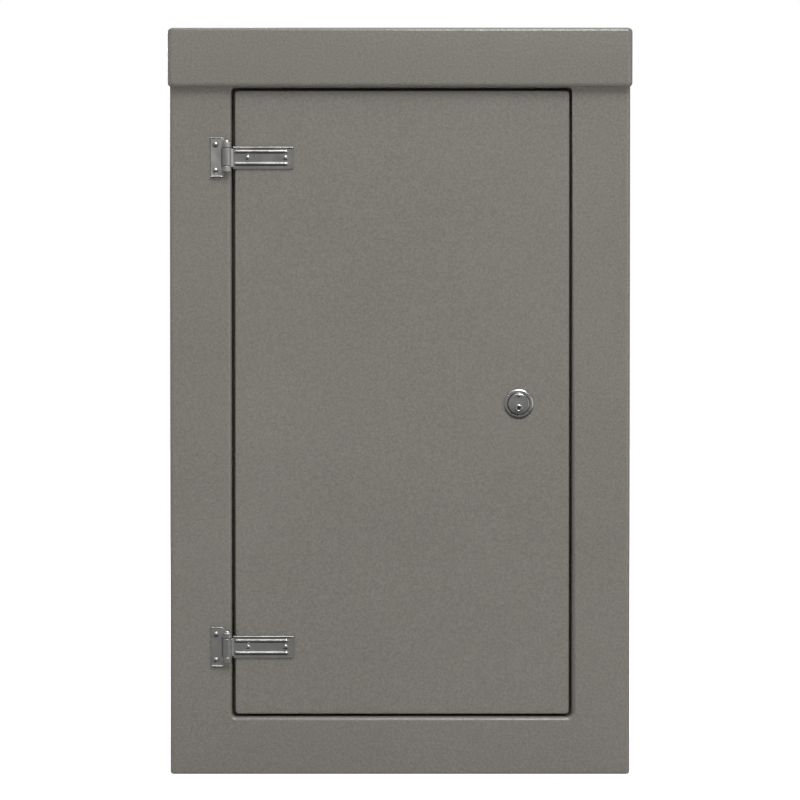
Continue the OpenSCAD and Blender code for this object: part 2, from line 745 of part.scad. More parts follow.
// Relays, the processor and three capacitors
module board_components() color(black) {
    for (i = [0:3])
        span([-16 + i * 22, i * 22], [pcb_face - 15, pcb_face], [pcb_z[0] + 14, pcb_z[0] + 30]);
    span([-24, 12], [pcb_face - 3.5, pcb_face], [pcb_z[0] + 52, pcb_z[0] + 88]);
    for (x = [-88, -70, -52]) rod_y(x, pcb_z[0] + 36, [pcb_face - 18, pcb_face], 7);
    span([-96, -64], [pcb_face - 6, pcb_face], [pcb_z[0] + 58, pcb_z[0] + 82]);
}

module alarm_buzzer() color(black) difference() {
    rod_y(60, pcb_z[0] + 58, [pcb_face - 12, pcb_face], 12);
    rod_y(60, pcb_z[0] + 58, [pcb_face - 13, pcb_face - 9], 2);
}

module power_supply() color(steel) {
    y = [board_y - sheet - supply_d, board_y - sheet];
    columns = 4;
    rows = 11;
    difference() {
        span(supply_x, y, supply_z);
        for (i = [0:columns - 1], k = [0:rows - 1])
            rod_y(supply_x[0] + 14 + i * 12, supply_z[0] + 20 + k * 12, [y[0] - 1, y[0] + 2], 3);
    }
}

module standby_batteries() color(black)
    for (z = battery_z) {
        span([battery_x, battery_x + battery[0]], [battery_y, battery_y + battery[1]],
             [z, z + battery[2]]);
        for (x = tab_x)
            span([x - 3, x + 3], [tab_y - 0.5, tab_y + 0.5],
                 [z + battery[2], z + battery[2] + 6]);
    }

// A folded shelf that carries the upper battery, with a side wall and two front tabs
module battery_bracket() color(steel) {
    x = [battery_x - 2, unit_x[1] - sheet];
    y = [battery_y - sheet - 0.2, board_y - sheet];
    z = battery_z[1] - sheet;
    span([x[0], x[1]], y, [z, z + sheet]);
    span([x[0], x[0] + sheet], y, [unit_z[0] + sheet, battery_z[1] + 40]);
    for (tab = [battery_x + 30, battery_x + 90])
        span([tab, tab + 18], [y[0], y[0] + sheet], [z, z + 12]);
}

module unit_wiring() color("crimson")
    for (w = wires) wire(w[1], w[0]);

// A conduit that climbs the board at x, turns at turn_z and enters the unit's right side
module riser(x, turn_z) {
    rod_z(x, conduit_y, [conduit_low, turn_z - bend_r], conduit_r);
    translate([x - bend_r, conduit_y, turn_z - bend_r]) rotate([90, 0, 0])
        rotate_extrude(angle = 90) translate([bend_r, 0]) circle(conduit_r);
    rod_x([conduit_end_x, x - bend_r], conduit_y, turn_z, conduit_r);
    translate([unit_x[1], conduit_y, turn_z]) rotate([0, 90, 0])
        cylinder(h = 5, r = 15, $fn = 6);
}

module loop_conduit() color(pvc) riser(loop_x, loop_turn_z);

module sounder_conduit() color(pvc) riser(sounder_x, sounder_turn_z);

module supply_conduit() color(pvc) {
    rod_z(spur_x, conduit_y, [conduit_low, spur_z - spur_w / 2 + 4], conduit_r);
    rod_z(spur_x, conduit_y, [spur_z - spur_w / 2 - 5, spur_z - spur_w / 2], 14);
    rod_x([spur_x + spur_w / 2 - 4, -conduit_end_x], conduit_y, spur_z, conduit_r);
    rod_x([spur_x + spur_w / 2, spur_x + spur_w / 2 + 5], conduit_y, spur_z, 14);
    rod_x([unit_x[0] - 5, unit_x[0]], conduit_y, spur_z, 14);
}

module conduit_saddles() color(pvc)
    for (x = [loop_x, sounder_x, spur_x], z = saddle_z)
        difference() {
            union() {
                span([x - 22, x + 22], [board_y - 6, board_y], [z, z + 12]);
                rod_z(x, conduit_y, [z, z + 12], conduit_r + 3);
                span([x - conduit_r - 3, x + conduit_r + 3], [conduit_y, board_y], [z, z + 12]);
            }
            rod_z(x, conduit_y, [z - 1, z + 13], conduit_r);
            for (dx = [-18, 18]) rod_y(x + dx, z + 6, [board_y - 7, board_y + 1], 2);
        }

// ---------------------------------------------------------------- supply spur

spur_span = [spur_x - spur_w / 2, spur_x + spur_w / 2];
spur_rise = [spur_z - spur_w / 2, spur_z + spur_w / 2];
carrier = [30, 22];
carrier_z = spur_z + 12;

module spur_box() color(pvc) difference() {
    span(spur_span, [board_y - spur_box_d, board_y], spur_rise);
    span([spur_span[0] + 2.5, spur_span[1] - 2.5], [board_y - spur_box_d - 1, board_y - 2.5],
         [spur_rise[0] + 2.5, spur_rise[1] - 2.5]);
    rod_z(spur_x, conduit_y, [spur_rise[0] - 1, spur_rise[0] + 3], conduit_r);
    rod_x([spur_span[1] - 3, spur_span[1] + 1], conduit_y, spur_z, conduit_r);
}

module spur_plate() color(pvc) {
    y = [board_y - spur_box_d - 8, board_y - spur_box_d];
    difference() {
        span(spur_span, y, spur_rise);
        span([spur_x - carrier[0] / 2 - touch, spur_x + carrier[0] / 2 + touch],
             [y[0] - 1, y[1] + 1],
             [carrier_z - carrier[1] / 2 - touch, carrier_z + carrier[1] / 2 + touch]);
        span([spur_x - 6, spur_x + 6], [y[0] - 1, y[0] + 2], [spur_z - 24, spur_z - 18]);
    }
    for (x = [spur_x - 30, spur_x + 30]) dome_y(x, spur_z, y[0], 4, 1.5);
}

module fuse_carrier() color("firebrick") {
    y = board_y - spur_box_d - 10;
    difference() {
        span([spur_x - carrier[0] / 2, spur_x + carrier[0] / 2], [y, y + 26],
             [carrier_z - carrier[1] / 2, carrier_z + carrier[1] / 2]);
        span([spur_x - 8, spur_x + 8], [y - 1, y + 1.2], [carrier_z - 2, carrier_z + 2]);
    }
}

// ---------------------------------------------------------------- unit cover

module lamp_places() for (x = lamp_x, z = lamp_z) translate([x, 0, z]) children();

// Everything that shows through the front of the cover, cut through the depths y
module front_cutouts(y, gap) {
    span([display_x[0] - gap, display_x[1] + gap], y, [display_z[0] - gap, display_z[1] + gap]);
    for (x = button_x) rod_y(x, button_z, y, button_r + touch);
    lamp_places() rod_y(0, 0, y, 2.5 + touch / 2);
    rod_y(access_x, access_z, y, 8 + clear);
}

module unit_cover() color(red) difference() {
    union() {
        difference() {
            span(unit_x, [cover_y, unit_y - touch], unit_z);
            span([unit_x[0] + sheet, unit_x[1] - sheet], [cover_y + sheet, unit_y],
                 [unit_z[0] + sheet, unit_z[1] - sheet]);
        }
        for (z = unit_hinge_z) {
            rod_z(unit_hinge_x, unit_y, [z - 9.7, z + 9.7], 3.5);
            span([unit_hinge_x, unit_x[0] + 1], [unit_y - 3.5, unit_y - 1.5], [z - 9.7, z + 9.7]);
        }
    }
    front_cutouts([cover_y - 1, cover_y + sheet + 1], 0.2);
    rod_y(unit_lock_x, unit_lock_z, [cover_y - 1, cover_y + sheet + 1], 9 + clear);
    for (z = unit_hinge_z)
        rod_z(unit_hinge_x, unit_y, [z - 11, z + 11], 1.5 + clear);
    for (i = [0:5])
        span([-80, 40], [cover_y - 1, cover_y + sheet + 1],
             [unit_z[0] + 40 + i * 12, unit_z[0] + 44 + i * 12]);
}

module unit_fascia() color("gainsboro") difference() {
    span([unit_x[0] + 14, unit_x[1] - 14], [fascia_y, cover_y], fascia_z);
    front_cutouts([fascia_y - 1, cover_y + 1], 0.2);
}

module display_window() color("darkslategray")
    span(display_x, [fascia_y + 0.2, cover_y + sheet], display_z);

module status_lamps() color("red")
    lamp_places() {
        rod_y(0, 0, [fascia_y, cover_y + sheet + 3], 2.5);
        dome_y(0, 0, fascia_y, 2.5, 1.6);
    }

// Pins and the lugs on the back box that hold them
module unit_hinge_pins() color(steel)
    for (z = unit_hinge_z) {
        rod_z(unit_hinge_x, unit_y, [z - 16, z + 16], 1.5);
        for (end = [[z - 16, z - 10], [z + 10, z + 16]]) {
            rod_z(unit_hinge_x, unit_y, end, 3.5);
            span([unit_hinge_x - 3.5, unit_x[0]], [unit_y, unit_y + 10], end);
        }
    }

module unit_lock_barrel() color(steel) difference() {
    union() {
        rod_y(unit_lock_x, unit_lock_z, [cover_y - 2, cover_y], 11);
        rod_y(unit_lock_x, unit_lock_z, [cover_y, unit_y + 1], 9);
    }
    rod_y(unit_lock_x, unit_lock_z, [cover_y - 3, unit_y + 2], 6 + clear);
}

module unit_lock_core() color(brass) difference() {
    union() {
        rod_y(unit_lock_x, unit_lock_z, [cover_y - 1.5, unit_y + 4.3], 6);
        span([unit_lock_x - 5, unit_lock_x + 5], [unit_y + 2.3, unit_y + 4.3],
             [unit_lock_z - 18, unit_lock_z]);
    }
    span([unit_lock_x - 0.7, unit_lock_x + 0.7], [cover_y - 3, cover_y + 8],
         [unit_lock_z - 4, unit_lock_z + 4]);
}

module access_barrel() color(steel) difference() {
    union() {
        rod_y(access_x, access_z, [fascia_y - 3, fascia_y], 11);
        rod_y(access_x, access_z, [fascia_y, cover_y + 14], 8);
    }
    rod_y(access_x, access_z, [fascia_y - 4, cover_y + 15], 5.5 + clear);
}

module access_core() color(brass) difference() {
    rod_y(access_x, access_z, [fascia_y - 2.5, cover_y + 15], 5.5);
    span([access_x - 0.7, access_x + 0.7], [fascia_y - 4, cover_y + 6],
         [access_z - 3.8, access_z + 3.8]);
}

// A round push button, held by a flange behind the cover's sheet
module push_button(i) {
    rod_y(button_x[i], button_z,
          [fascia_y - button_travel - 2, cover_y + sheet + touch + 2], button_r);
    rod_y(button_x[i], button_z,
          [cover_y + sheet + touch, cover_y + sheet + touch + 2], button_r + 2);
}

module silence_button() color("slategray") push_button(0);

module reset_button() color("slategray") push_button(1);

module evacuate_button() color("firebrick") push_button(2);

module test_button() color("slategray") push_button(3);

// ---------------------------------------------------------------- build

cabinet_shell();
roof_canopy();
canopy_bolts();
door_seal();
side_vents();
hinge_leaf_upper();
hinge_leaf_lower();
hinge_pins();
leaf_bolts();
leaf_nut_plates();
lock_keep();
keep_screws();
back_battens();
back_board();
board_screws();
earth_bar();
unit_back_box();
control_board();
terminal_blocks();
board_components();
alarm_buzzer();
power_supply();
standby_batteries();
battery_bracket();
unit_wiring();
loop_conduit();
sounder_conduit();
supply_conduit();
conduit_saddles();
spur_box();
spur_plate();
fuse_carrier();
unit_cover();
unit_fascia();
display_window();
status_lamps();
unit_hinge_pins();
unit_lock_barrel();
unit_lock_core();
access_barrel();
access_core();
silence_button();
reset_button();
evacuate_button();
test_button();
door_skin();
door_core();
door_liner();
hinge_strap_upper();
hinge_strap_lower();
strap_bolts();
lock_rose();
lock_barrel();
lock_nut();
cover_rivet();
logbook_pocket();
keyhole_cover();
lock_plug();
lock_cam();
cam_nut();
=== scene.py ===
"""Looks of a weatherproof GRP kiosk that houses a fire alarm control unit, built round its CAD frame."""

import json
import math

import bmesh
import bpy
import numpy as np
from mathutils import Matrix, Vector

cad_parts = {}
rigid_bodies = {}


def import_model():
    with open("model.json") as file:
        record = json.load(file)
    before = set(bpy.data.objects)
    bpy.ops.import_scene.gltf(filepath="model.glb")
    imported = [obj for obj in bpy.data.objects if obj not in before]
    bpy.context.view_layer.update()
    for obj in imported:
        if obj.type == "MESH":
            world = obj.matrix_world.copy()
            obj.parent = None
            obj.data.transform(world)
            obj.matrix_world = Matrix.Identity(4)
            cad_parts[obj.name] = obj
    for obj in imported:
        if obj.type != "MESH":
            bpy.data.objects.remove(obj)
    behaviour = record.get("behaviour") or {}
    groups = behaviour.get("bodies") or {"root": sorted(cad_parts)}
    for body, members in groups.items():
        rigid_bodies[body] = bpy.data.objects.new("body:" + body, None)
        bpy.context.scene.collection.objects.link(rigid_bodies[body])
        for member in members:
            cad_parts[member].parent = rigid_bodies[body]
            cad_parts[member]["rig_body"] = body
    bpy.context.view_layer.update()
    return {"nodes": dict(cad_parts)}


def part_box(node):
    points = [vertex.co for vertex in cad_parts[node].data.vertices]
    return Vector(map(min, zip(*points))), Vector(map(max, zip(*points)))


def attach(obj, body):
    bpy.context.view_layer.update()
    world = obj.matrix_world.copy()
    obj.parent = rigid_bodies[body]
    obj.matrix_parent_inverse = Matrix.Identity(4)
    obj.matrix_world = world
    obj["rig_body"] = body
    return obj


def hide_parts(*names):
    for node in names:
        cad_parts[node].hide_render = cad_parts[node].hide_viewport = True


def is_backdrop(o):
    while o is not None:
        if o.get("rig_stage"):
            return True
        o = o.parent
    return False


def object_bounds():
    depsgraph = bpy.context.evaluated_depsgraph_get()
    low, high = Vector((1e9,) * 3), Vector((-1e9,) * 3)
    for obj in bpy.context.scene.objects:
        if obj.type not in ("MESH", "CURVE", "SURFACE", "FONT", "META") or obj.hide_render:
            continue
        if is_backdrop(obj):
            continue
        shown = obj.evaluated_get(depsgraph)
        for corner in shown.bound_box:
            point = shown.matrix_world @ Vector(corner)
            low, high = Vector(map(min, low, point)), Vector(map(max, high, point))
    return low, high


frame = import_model()

bl_info = {
    "name": "GRP Kiosk",
    "version": (1, 0, 0),
    "blender": (4, 5, 0),
    "location": "View3D > Sidebar > Kiosk",
    "description": "Builds the finished surfaces of a GRP kiosk and of the control unit inside it",
    "category": "Add Mesh",
}

MM = 0.001


# ---------------------------------------------------------------- places, from the frame

def middle(node):
    """Centre of a CAD node's box."""
    low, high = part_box(node)
    return (low + high) / 2


def spot(node):
    """X and Z of a CAD node's centre, for what is turned about a line along Y."""
    centre = middle(node)
    return centre.x, centre.z


def body_of(node):
    """Name of the CAD body that a node belongs to."""
    return frame["nodes"][node]["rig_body"]


# ---------------------------------------------------------------- outlines and surfaces

def arc(centre, radius, start, end, steps=6):
    """Points on a circle: the centre plus the radius times cosine and sine of evenly spaced angles."""
    turn = np.radians(np.linspace(start, end, steps + 1))
    return np.column_stack([centre[0] + radius * np.cos(turn), centre[1] + radius * np.sin(turn)])


def outline(x, z, radius, steps=6):
    """A rectangle whose corners are quarter circles, going round once from the lower right corner."""
    radius = max(radius, 1e-5)
    corners = [(x[1] - radius, z[0] + radius, -90), (x[1] - radius, z[1] - radius, 0),
               (x[0] + radius, z[1] - radius, 90), (x[0] + radius, z[0] + radius, 180)]
    return np.concatenate([arc((cx, cz), radius, a, a + 90, steps) for cx, cz, a in corners])


def upright(flat, y):
    """Stands a flat outline in X and Z at a depth y."""
    return np.column_stack([flat[:, 0], np.full(len(flat), y), flat[:, 1]])


def level(flat, z):
    """Lays a flat outline in X and Y at a height z, which may be one number or one for each point."""
    return np.column_stack([flat, np.broadcast_to(z, len(flat))])


def surface(rings, along=False, caps=False):
    """Quads between neighbours on a grid of points whose rows are closed. The last row meets the first if
    along is set, and the end rows are filled if caps is set."""
    rows, columns = rings.shape[:2]
    index = np.arange(rows * columns).reshape(rows, columns)
    beside = np.roll(index, -1, 1)
    if along:
        lower, upper = (index, beside), (np.roll(index, -1, 0), np.roll(beside, -1, 0))
    else:
        lower, upper = (index[:-1], beside[:-1]), (index[1:], beside[1:])
    faces = np.stack([lower[0], lower[1], upper[1], upper[0]], -1).reshape(-1, 4).tolist()
    if caps:
        faces += [index[0][::-1].tolist(), index[-1].tolist()]
    return rings.reshape(-1, 3), faces


def frame_rings(x, z, rows, steps=6):
    """Rounded rectangles round one opening; a row gives how far it is grown, its depth and its radius."""
    return np.array([upright(outline((x[0] - grow, x[1] + grow), (z[0] - grow, z[1] + grow), radius, steps),
                             y) for grow, y, radius in rows])


def rounded_box(low, high, radius):
    """A box with every edge round: level rounded rectangles whose inset follows a quarter circle."""
    x, y, z = zip(low, high)
    steps = 3
    bend = arc((0, 0), radius, 0, 90, steps)
    rows = [(radius - bx, z[0] + radius - bz) for bx, bz in bend[::-1]]
    rows += [(radius - bx, z[1] - radius + bz) for bx, bz in bend]
    rings = [level(outline((x[0] + inset, x[1] - inset), (y[0] + inset, y[1] - inset),
                           max(radius - inset, radius * 0.2), steps), height) for inset, height in rows]
    return surface(np.array(rings), caps=True)


def from_face(points, face):
    """A profile of radii and depths in millimetres, with the depths counted back from a face."""
    return np.array(points, float) * MM + [0, face]


def turned(profile, centre, steps=48, relief=None):
    """A profile of radius and depth turned about a line along Y. relief moves points along Y by angle."""
    profile = np.asarray(profile, float)
    turn = np.linspace(0, 2 * np.pi, steps, endpoint=False)
    radius, depth = profile[:, :1], np.repeat(profile[:, 1:], steps, 1)
    if relief is not None:
        depth = depth + relief(np.degrees(turn)[None, :], radius)
    rings = np.stack([centre[0] + radius * np.cos(turn), depth, centre[1] + radius * np.sin(turn)], -1)
    return surface(rings)


def spun(radius, height, x, y):
    """A profile of radius and height turned about an upright line."""
    turn = np.linspace(0, 2 * np.pi, 28, endpoint=False)
    rings = [level(np.column_stack([x + r * np.cos(turn), y + r * np.sin(turn)]), z)
             for r, z in zip(radius, height)]
    return surface(np.array(rings))


def dome(centre, y, radius, height, steps=24):
    """A bolt's domed head: the depth falls as a quarter ellipse from its crown to its rim at y."""
    turn = np.linspace(0, np.pi / 2, 6)
    crown = np.column_stack([radius * np.sin(turn), y - height * np.cos(turn)])
    foot = [[radius, y + 0.05 * MM], [0, y + 0.05 * MM]]
    return turned(np.concatenate([crown, foot]), centre, steps)


def smooth_path(points, between=6):
    """A Catmull-Rom curve: each stretch is a cubic whose slope at a point is half the step across it."""
    points = np.asarray(points, float)
    padded = np.concatenate([[2 * points[0] - points[1]], points, [2 * points[-1] - points[-2]]])
    before, start, end, after = padded[:-3, None], padded[1:-2, None], padded[2:-1, None], padded[3:, None]
    t = np.linspace(0, 1, between, endpoint=False)[None, :, None]
    curve = 0.5 * (2 * start + (end - before) * t + (2 * before - 5 * start + 4 * end - after) * t ** 2
                   + (3 * start - 3 * end + after - before) * t ** 3)
    return np.concatenate([curve.reshape(-1, 3), points[-1:]])


def tube(path, radius, sides):
    """A circle carried along a path, each ring square to the path. radius may be one for each point."""
    path = np.asarray(path, float)
    heading = np.gradient(path, axis=0)
    heading /= np.linalg.norm(heading, axis=1, keepdims=True)
    across = np.cross(heading, [0.0, 1.0, 0.0])
    weak = np.linalg.norm(across, axis=1) < 0.2
    across[weak] = np.cross(heading[weak], [0.0, 0.0, 1.0])
    across /= np.linalg.norm(across, axis=1, keepdims=True)
    up = np.cross(heading, across)
    turn = np.linspace(0, 2 * np.pi, sides, endpoint=False)
    radius = np.broadcast_to(radius, len(path))[:, None, None]
    rings = path[:, None] + radius * (np.cos(turn)[None, :, None] * across[:, None]
                                      + np.sin(turn)[None, :, None] * up[:, None])
    return surface(rings, caps=True)


def slab(flat, y):
    """A flat outline in X and Z as a plate between two depths."""
    return surface(np.array([upright(flat, y[0]), upright(flat, y[1])]), caps=True)


def column(flat, z):
    """A flat outline in X and Y as a prism between two heights."""
    return surface(np.array([level(flat, z[0]), level(flat, z[1])]), caps=True)


# ---------------------------------------------------------------- making pieces

def new_object(name, mesh, body, stands_for):
    """Links a mesh as a piece that rides on a body and stands for CAD nodes."""
    piece = bpy.data.objects.new(name, mesh)
    bpy.context.scene.collection.objects.link(piece)
    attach(piece, body)
    if stands_for:
        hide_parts(*stands_for)
    return piece


def add_bevel(piece, width, segments=2, by_weight=False):
    """Rounds a piece's sharp edges."""
    bevel = piece.modifiers.new("edges", "BEVEL")
    bevel.width = width
    bevel.segments = segments
    bevel.limit_method = "WEIGHT" if by_weight else "ANGLE"
    bevel.angle_limit = math.radians(35)
    bevel.use_clamp_overlap = False
    bevel.harden_normals = True
    return piece


def build(name, parts, body, stands_for=(), smooth=35, bevel=0):
    """A piece from closed parts, each a list of points, a list of faces and a material."""
    materials = list(dict.fromkeys(material for _, _, material in parts))
    whole = bmesh.new()
    for points, faces, material in parts:
        mesh = bpy.data.meshes.new("part")
        mesh.from_pydata(points, [], faces)
        part = bmesh.new()
        part.from_mesh(mesh)
        bmesh.ops.remove_doubles(part, verts=part.verts, dist=1e-6)
        bmesh.ops.recalc_face_normals(part, faces=part.faces)
        part.to_mesh(mesh)
        part.free()
        mesh.polygons.foreach_set("material_index", [materials.index(material)] * len(mesh.polygons))
        whole.from_mesh(mesh)
        bpy.data.meshes.remove(mesh)
    mesh = bpy.data.meshes.new(name)
    whole.to_mesh(mesh)
    whole.free()
    for material in materials:
        mesh.materials.append(material)
    mesh.shade_smooth()
    piece = new_object(name, mesh, body, stands_for)
    if bevel:
        return add_bevel(piece, bevel)
    mesh.set_sharp_from_angle(angle=math.radians(smooth))
    return piece


def welded(node):
    """A CAD node's triangles as one closed mesh with flat faces joined."""
    work = bmesh.new()
    work.from_mesh(frame["nodes"][node].data)
    bmesh.ops.remove_doubles(work, verts=work.verts, dist=1e-5)
    bmesh.ops.dissolve_limit(work, angle_limit=math.radians(0.5), verts=work.verts, edges=work.edges)
    mesh = bpy.data.meshes.new(node + "_finish")
    work.to_mesh(mesh)
    work.free()
    normals = mesh.attributes.get("custom_normal")
    if normals:
        mesh.attributes.remove(normals)
    mesh.materials.clear()
    mesh.shade_smooth()
    return mesh


def softened(node, width, material, segments=2):
    """A copy of a CAD node with its edges rounded, in one material."""
    mesh = welded(node)
    mesh.materials.append(material)
    mesh.polygons.foreach_set("material_index", [0] * len(mesh.polygons))
    return add_bevel(new_object(node + "_finish", mesh, body_of(node), (node,)), width, segments)


def read_all(items, field, each=1, kind=float):
    """One field of every item of a mesh, as an array with a row for each item."""
    values = np.empty(len(items) * each, kind)
    items.foreach_get(field, values)
    return values.reshape(-1, each)


# ---------------------------------------------------------------- material helpers

def node(tree, kind, inputs=None, **settings):
    """Adds a shader node; inputs are sockets to link or values to set."""
    made = tree.nodes.new("ShaderNode" + kind)
    for key, value in settings.items():
        setattr(made, key, value)
    for key, value in (inputs or {}).items():
        if isinstance(value, bpy.types.NodeSocket):
            tree.links.new(value, made.inputs[key])
        else:
            made.inputs[key].default_value = value
    return made


def place(tree, stretch=(1, 1, 1)):
    """Object coordinates, stretched along each axis."""
    where = node(tree, "TexCoord").outputs["Object"]
    return node(tree, "Mapping", {"Vector": where, "Scale": stretch}).outputs["Vector"]


def axis_of(tree, axis):
    """One coordinate of a point on the piece, in metres."""
    where = node(tree, "TexCoord").outputs["Object"]
    return node(tree, "SeparateXYZ", {"Vector": where}).outputs[axis]


def bricks(tree, width, height, gap, offset=0.0, **tones):
    """Rows of cells with gaps between them, laid on the faces that look forwards."""
    where = node(tree, "TexCoord").outputs["Object"]
    facing = node(tree, "Mapping", {"Vector": where, "Rotation": (math.radians(90), 0, 0)}).outputs["Vector"]
    return node(tree, "TexBrick", {"Vector": facing, "Scale": 1.0, "Mortar Size": gap, "Brick Width": width,
                                   "Row Height": height, **tones}, offset=offset)


def spangle(tree, scale):
    """A tone from 0 to 1 for each crystal of a zinc coating."""
    cells = node(tree, "TexVoronoi", {"Vector": place(tree), "Scale": scale}).outputs["Color"]
    return node(tree, "SeparateXYZ", {"Vector": cells}).outputs[0]


def noise(tree, where, scale, detail=3.0, roughness=0.5, distortion=0.0):
    """A cloud pattern from 0 to 1."""
    return node(tree, "TexNoise", {"Vector": where, "Scale": scale, "Detail": detail, "Roughness": roughness,
                                   "Distortion": distortion}).outputs["Fac"]


def grade(tree, factor, stops):
    """A colour ramp; stops are pairs of place and colour."""
    ramp = node(tree, "ValToRGB", {"Fac": factor})
    elements = ramp.color_ramp.elements
    while len(elements) < len(stops):
        elements.new(0.5)
    for element, (at, colour) in zip(elements, stops):
        element.position = at
        element.color = (*colour[:3], 1)
    return ramp.outputs["Color"]


def reach(tree, value, low, high, new_low=0.0, new_high=1.0):
    """Maps a value from one range to another and clamps it."""
    return node(tree, "MapRange", {"Value": value, "From Min": low, "From Max": high,
                                   "To Min": new_low, "To Max": new_high}).outputs["Result"]


def sums(tree, operation, first, second=0.0):
    """One step of arithmetic."""
    made = node(tree, "Math", operation=operation)
    for slot_number, value in enumerate((first, second)):
        if isinstance(value, bpy.types.NodeSocket):
            tree.links.new(value, made.inputs[slot_number])
        else:
            made.inputs[slot_number].default_value = value
    return made.outputs[0]


def blend(tree, factor, first, second):
    """Mixes two colours, each a socket or a colour."""
    mix = node(tree, "Mix", data_type="RGBA")
    for socket, value in ((mix.inputs["Factor"], factor), (mix.inputs[6], first), (mix.inputs[7], second)):
        if isinstance(value, bpy.types.NodeSocket):
            tree.links.new(value, socket)
        else:
            socket.default_value = (*value[:3], 1) if socket.type == "RGBA" else value
    return mix.outputs[2]


def dents(tree, *layers):
    """Bump from layers, each a height socket and the depth in metres of its full range."""
    normal = None
    for height, depth in layers:
        inputs = {"Height": height, "Distance": depth, "Strength": 1.0}
        if normal is not None:
            inputs["Normal"] = normal
        normal = node(tree, "Bump", inputs).outputs["Normal"]
    return normal


def shader_of(name, roughness, metallic=0.0, **fixed):
    """A new material: its node tree, and a function that sets the shader's sockets and returns it."""
    material = bpy.data.materials.new(name)
    material.use_nodes = True
    tree = material.node_tree
    shader = tree.nodes["Principled BSDF"]
    shader.inputs["Metallic"].default_value = metallic
    for key, value in fixed.items():
        shader.inputs[key.replace("_", " ")].default_value = value

    def finish(colour, normal=None, rough=roughness):
        """Sets colour, normal and roughness."""
        for key, value in (("Base Color", colour), ("Normal", normal), ("Roughness", rough)):
            if isinstance(value, bpy.types.NodeSocket):
                tree.links.new(value, shader.inputs[key])
            elif key == "Base Color":
                shader.inputs[key].default_value = (*value[:3], 1)
            elif value is not None:
                shader.inputs[key].default_value = value
        return material

    return tree, finish


def tinted(colour, factor):
    """A colour made darker or lighter by a factor."""
    return tuple(min(1.0, channel * factor) for channel in colour[:3])


def colours():
    """The colour settings of the scene."""
    return bpy.context.scene.kiosk_colours


def sizes():
    """The size settings of the scene."""
    return bpy.context.scene.kiosk_sizes


def known(make):
    """Makes a material once and gives the same one after that."""
    def once(*values):
        key = make.__name__ + "".join(f"-{value}" for value in values)
        if key not in known.made:
            known.made[key] = make(*values)
        return known.made[key]
    return once


known.made = {}


# ---------------------------------------------------------------- materials

@known
def gelcoat():
    """Pigmented gelcoat: faint clouds of tone, orange peel and the slow waves of a hand laid moulding."""
    base = colours().gelcoat
    tree, finish = shader_of("gelcoat", 0.4, Coat_Weight=0.35, Coat_Roughness=0.16)
    where = place(tree)
    clouds = noise(tree, where, 3.2, 2.0)
    speckle = noise(tree, where, 300, 1.0)
    colour = grade(tree, clouds, [(0.2, tinted(base, 0.99)), (0.8, tinted(base, 1.11))])
    colour = blend(tree, reach(tree, speckle, 0.3, 0.7, 0, 0.5), colour, tinted(base, 0.58))
    peel = noise(tree, where, 1 / sizes().orange_peel, 1.0)
    grain = noise(tree, where, 1100, 2.0)
    waves = noise(tree, where, 7, 1.0)
    normal = dents(tree, (waves, 0.7 * MM), (peel, 0.42 * MM), (grain, 0.03 * MM))
    rough = reach(tree, clouds, 0.2, 0.8, 0.24, 0.31)
    return finish(colour, normal, rough)


@known
def laminate():
    """The rough inner side of the moulding: grey flow coat over chopped glass strands."""
    base = colours().laminate
    tree, finish = shader_of("laminate", 0.5)
    where = place(tree)
    strands = [node(tree, "TexVoronoi", {"Vector": place(tree, stretch), "Scale": scale},
                    feature="DISTANCE_TO_EDGE").outputs["Distance"]
               for stretch, scale in (((1, 1, 0.35), 160.0), ((0.35, 0.35, 1), 140.0))]
    mat = sums(tree, "MINIMUM", *strands)
    clouds = noise(tree, where, 9, 4.0)
    colour = grade(tree, clouds, [(0.3, tinted(base, 0.86)), (0.7, tinted(base, 1.08))])
    normal = dents(tree, (mat, 0.5 * MM), (clouds, 1.2 * MM), (noise(tree, where, 350), 0.08 * MM))
    return finish(colour, normal, reach(tree, clouds, 0.3, 0.7, 0.38, 0.62))


@known
def stainless(dull=0.0):
    """Polished stainless steel with a faint run of polishing lines, duller where the sheet was bent."""
    tree, finish = shader_of("stainless", 0.2, 1.0, Anisotropic=0.25)
    lines = noise(tree, place(tree, (0.04, 1, 1)), 2600, 2.0)
    handling = noise(tree, place(tree), 55, 4.0)
    colour = grade(tree, handling, [(0.3, (0.56, 0.555, 0.54)), (0.75, (0.68, 0.675, 0.66))])
    normal = dents(tree, (lines, 0.003 * MM), (noise(tree, place(tree), 190, 1.0), 0.012 * MM))
    return finish(colour, normal, reach(tree, handling, 0.3, 0.7, 0.15 + dull, 0.27 + dull))


@known
def zinc():
    """Zinc plated steel: soft spangle and a slight warm passivation."""
    tree, finish = shader_of("zinc", 0.4, 1.0)
    shade = spangle(tree, 130.0)
    colour = grade(tree, shade, [(0.0, (0.46, 0.47, 0.48)), (1.0, (0.62, 0.62, 0.59))])
    normal = dents(tree, (noise(tree, place(tree), 600), 0.01 * MM))
    return finish(colour, normal, reach(tree, shade, 0, 1, 0.3, 0.48))


@known
def rubber():
    """Black rubber with a dull bloom."""
    tree, finish = shader_of("rubber", 0.62)
    bloom = noise(tree, place(tree), 40, 4.0)
    colour = grade(tree, bloom, [(0.35, (0.012, 0.012, 0.012)), (0.8, (0.035, 0.034, 0.033))])
    normal = dents(tree, (noise(tree, place(tree), 900), 0.02 * MM))
    return finish(colour, normal, reach(tree, bloom, 0.3, 0.8, 0.52, 0.75))


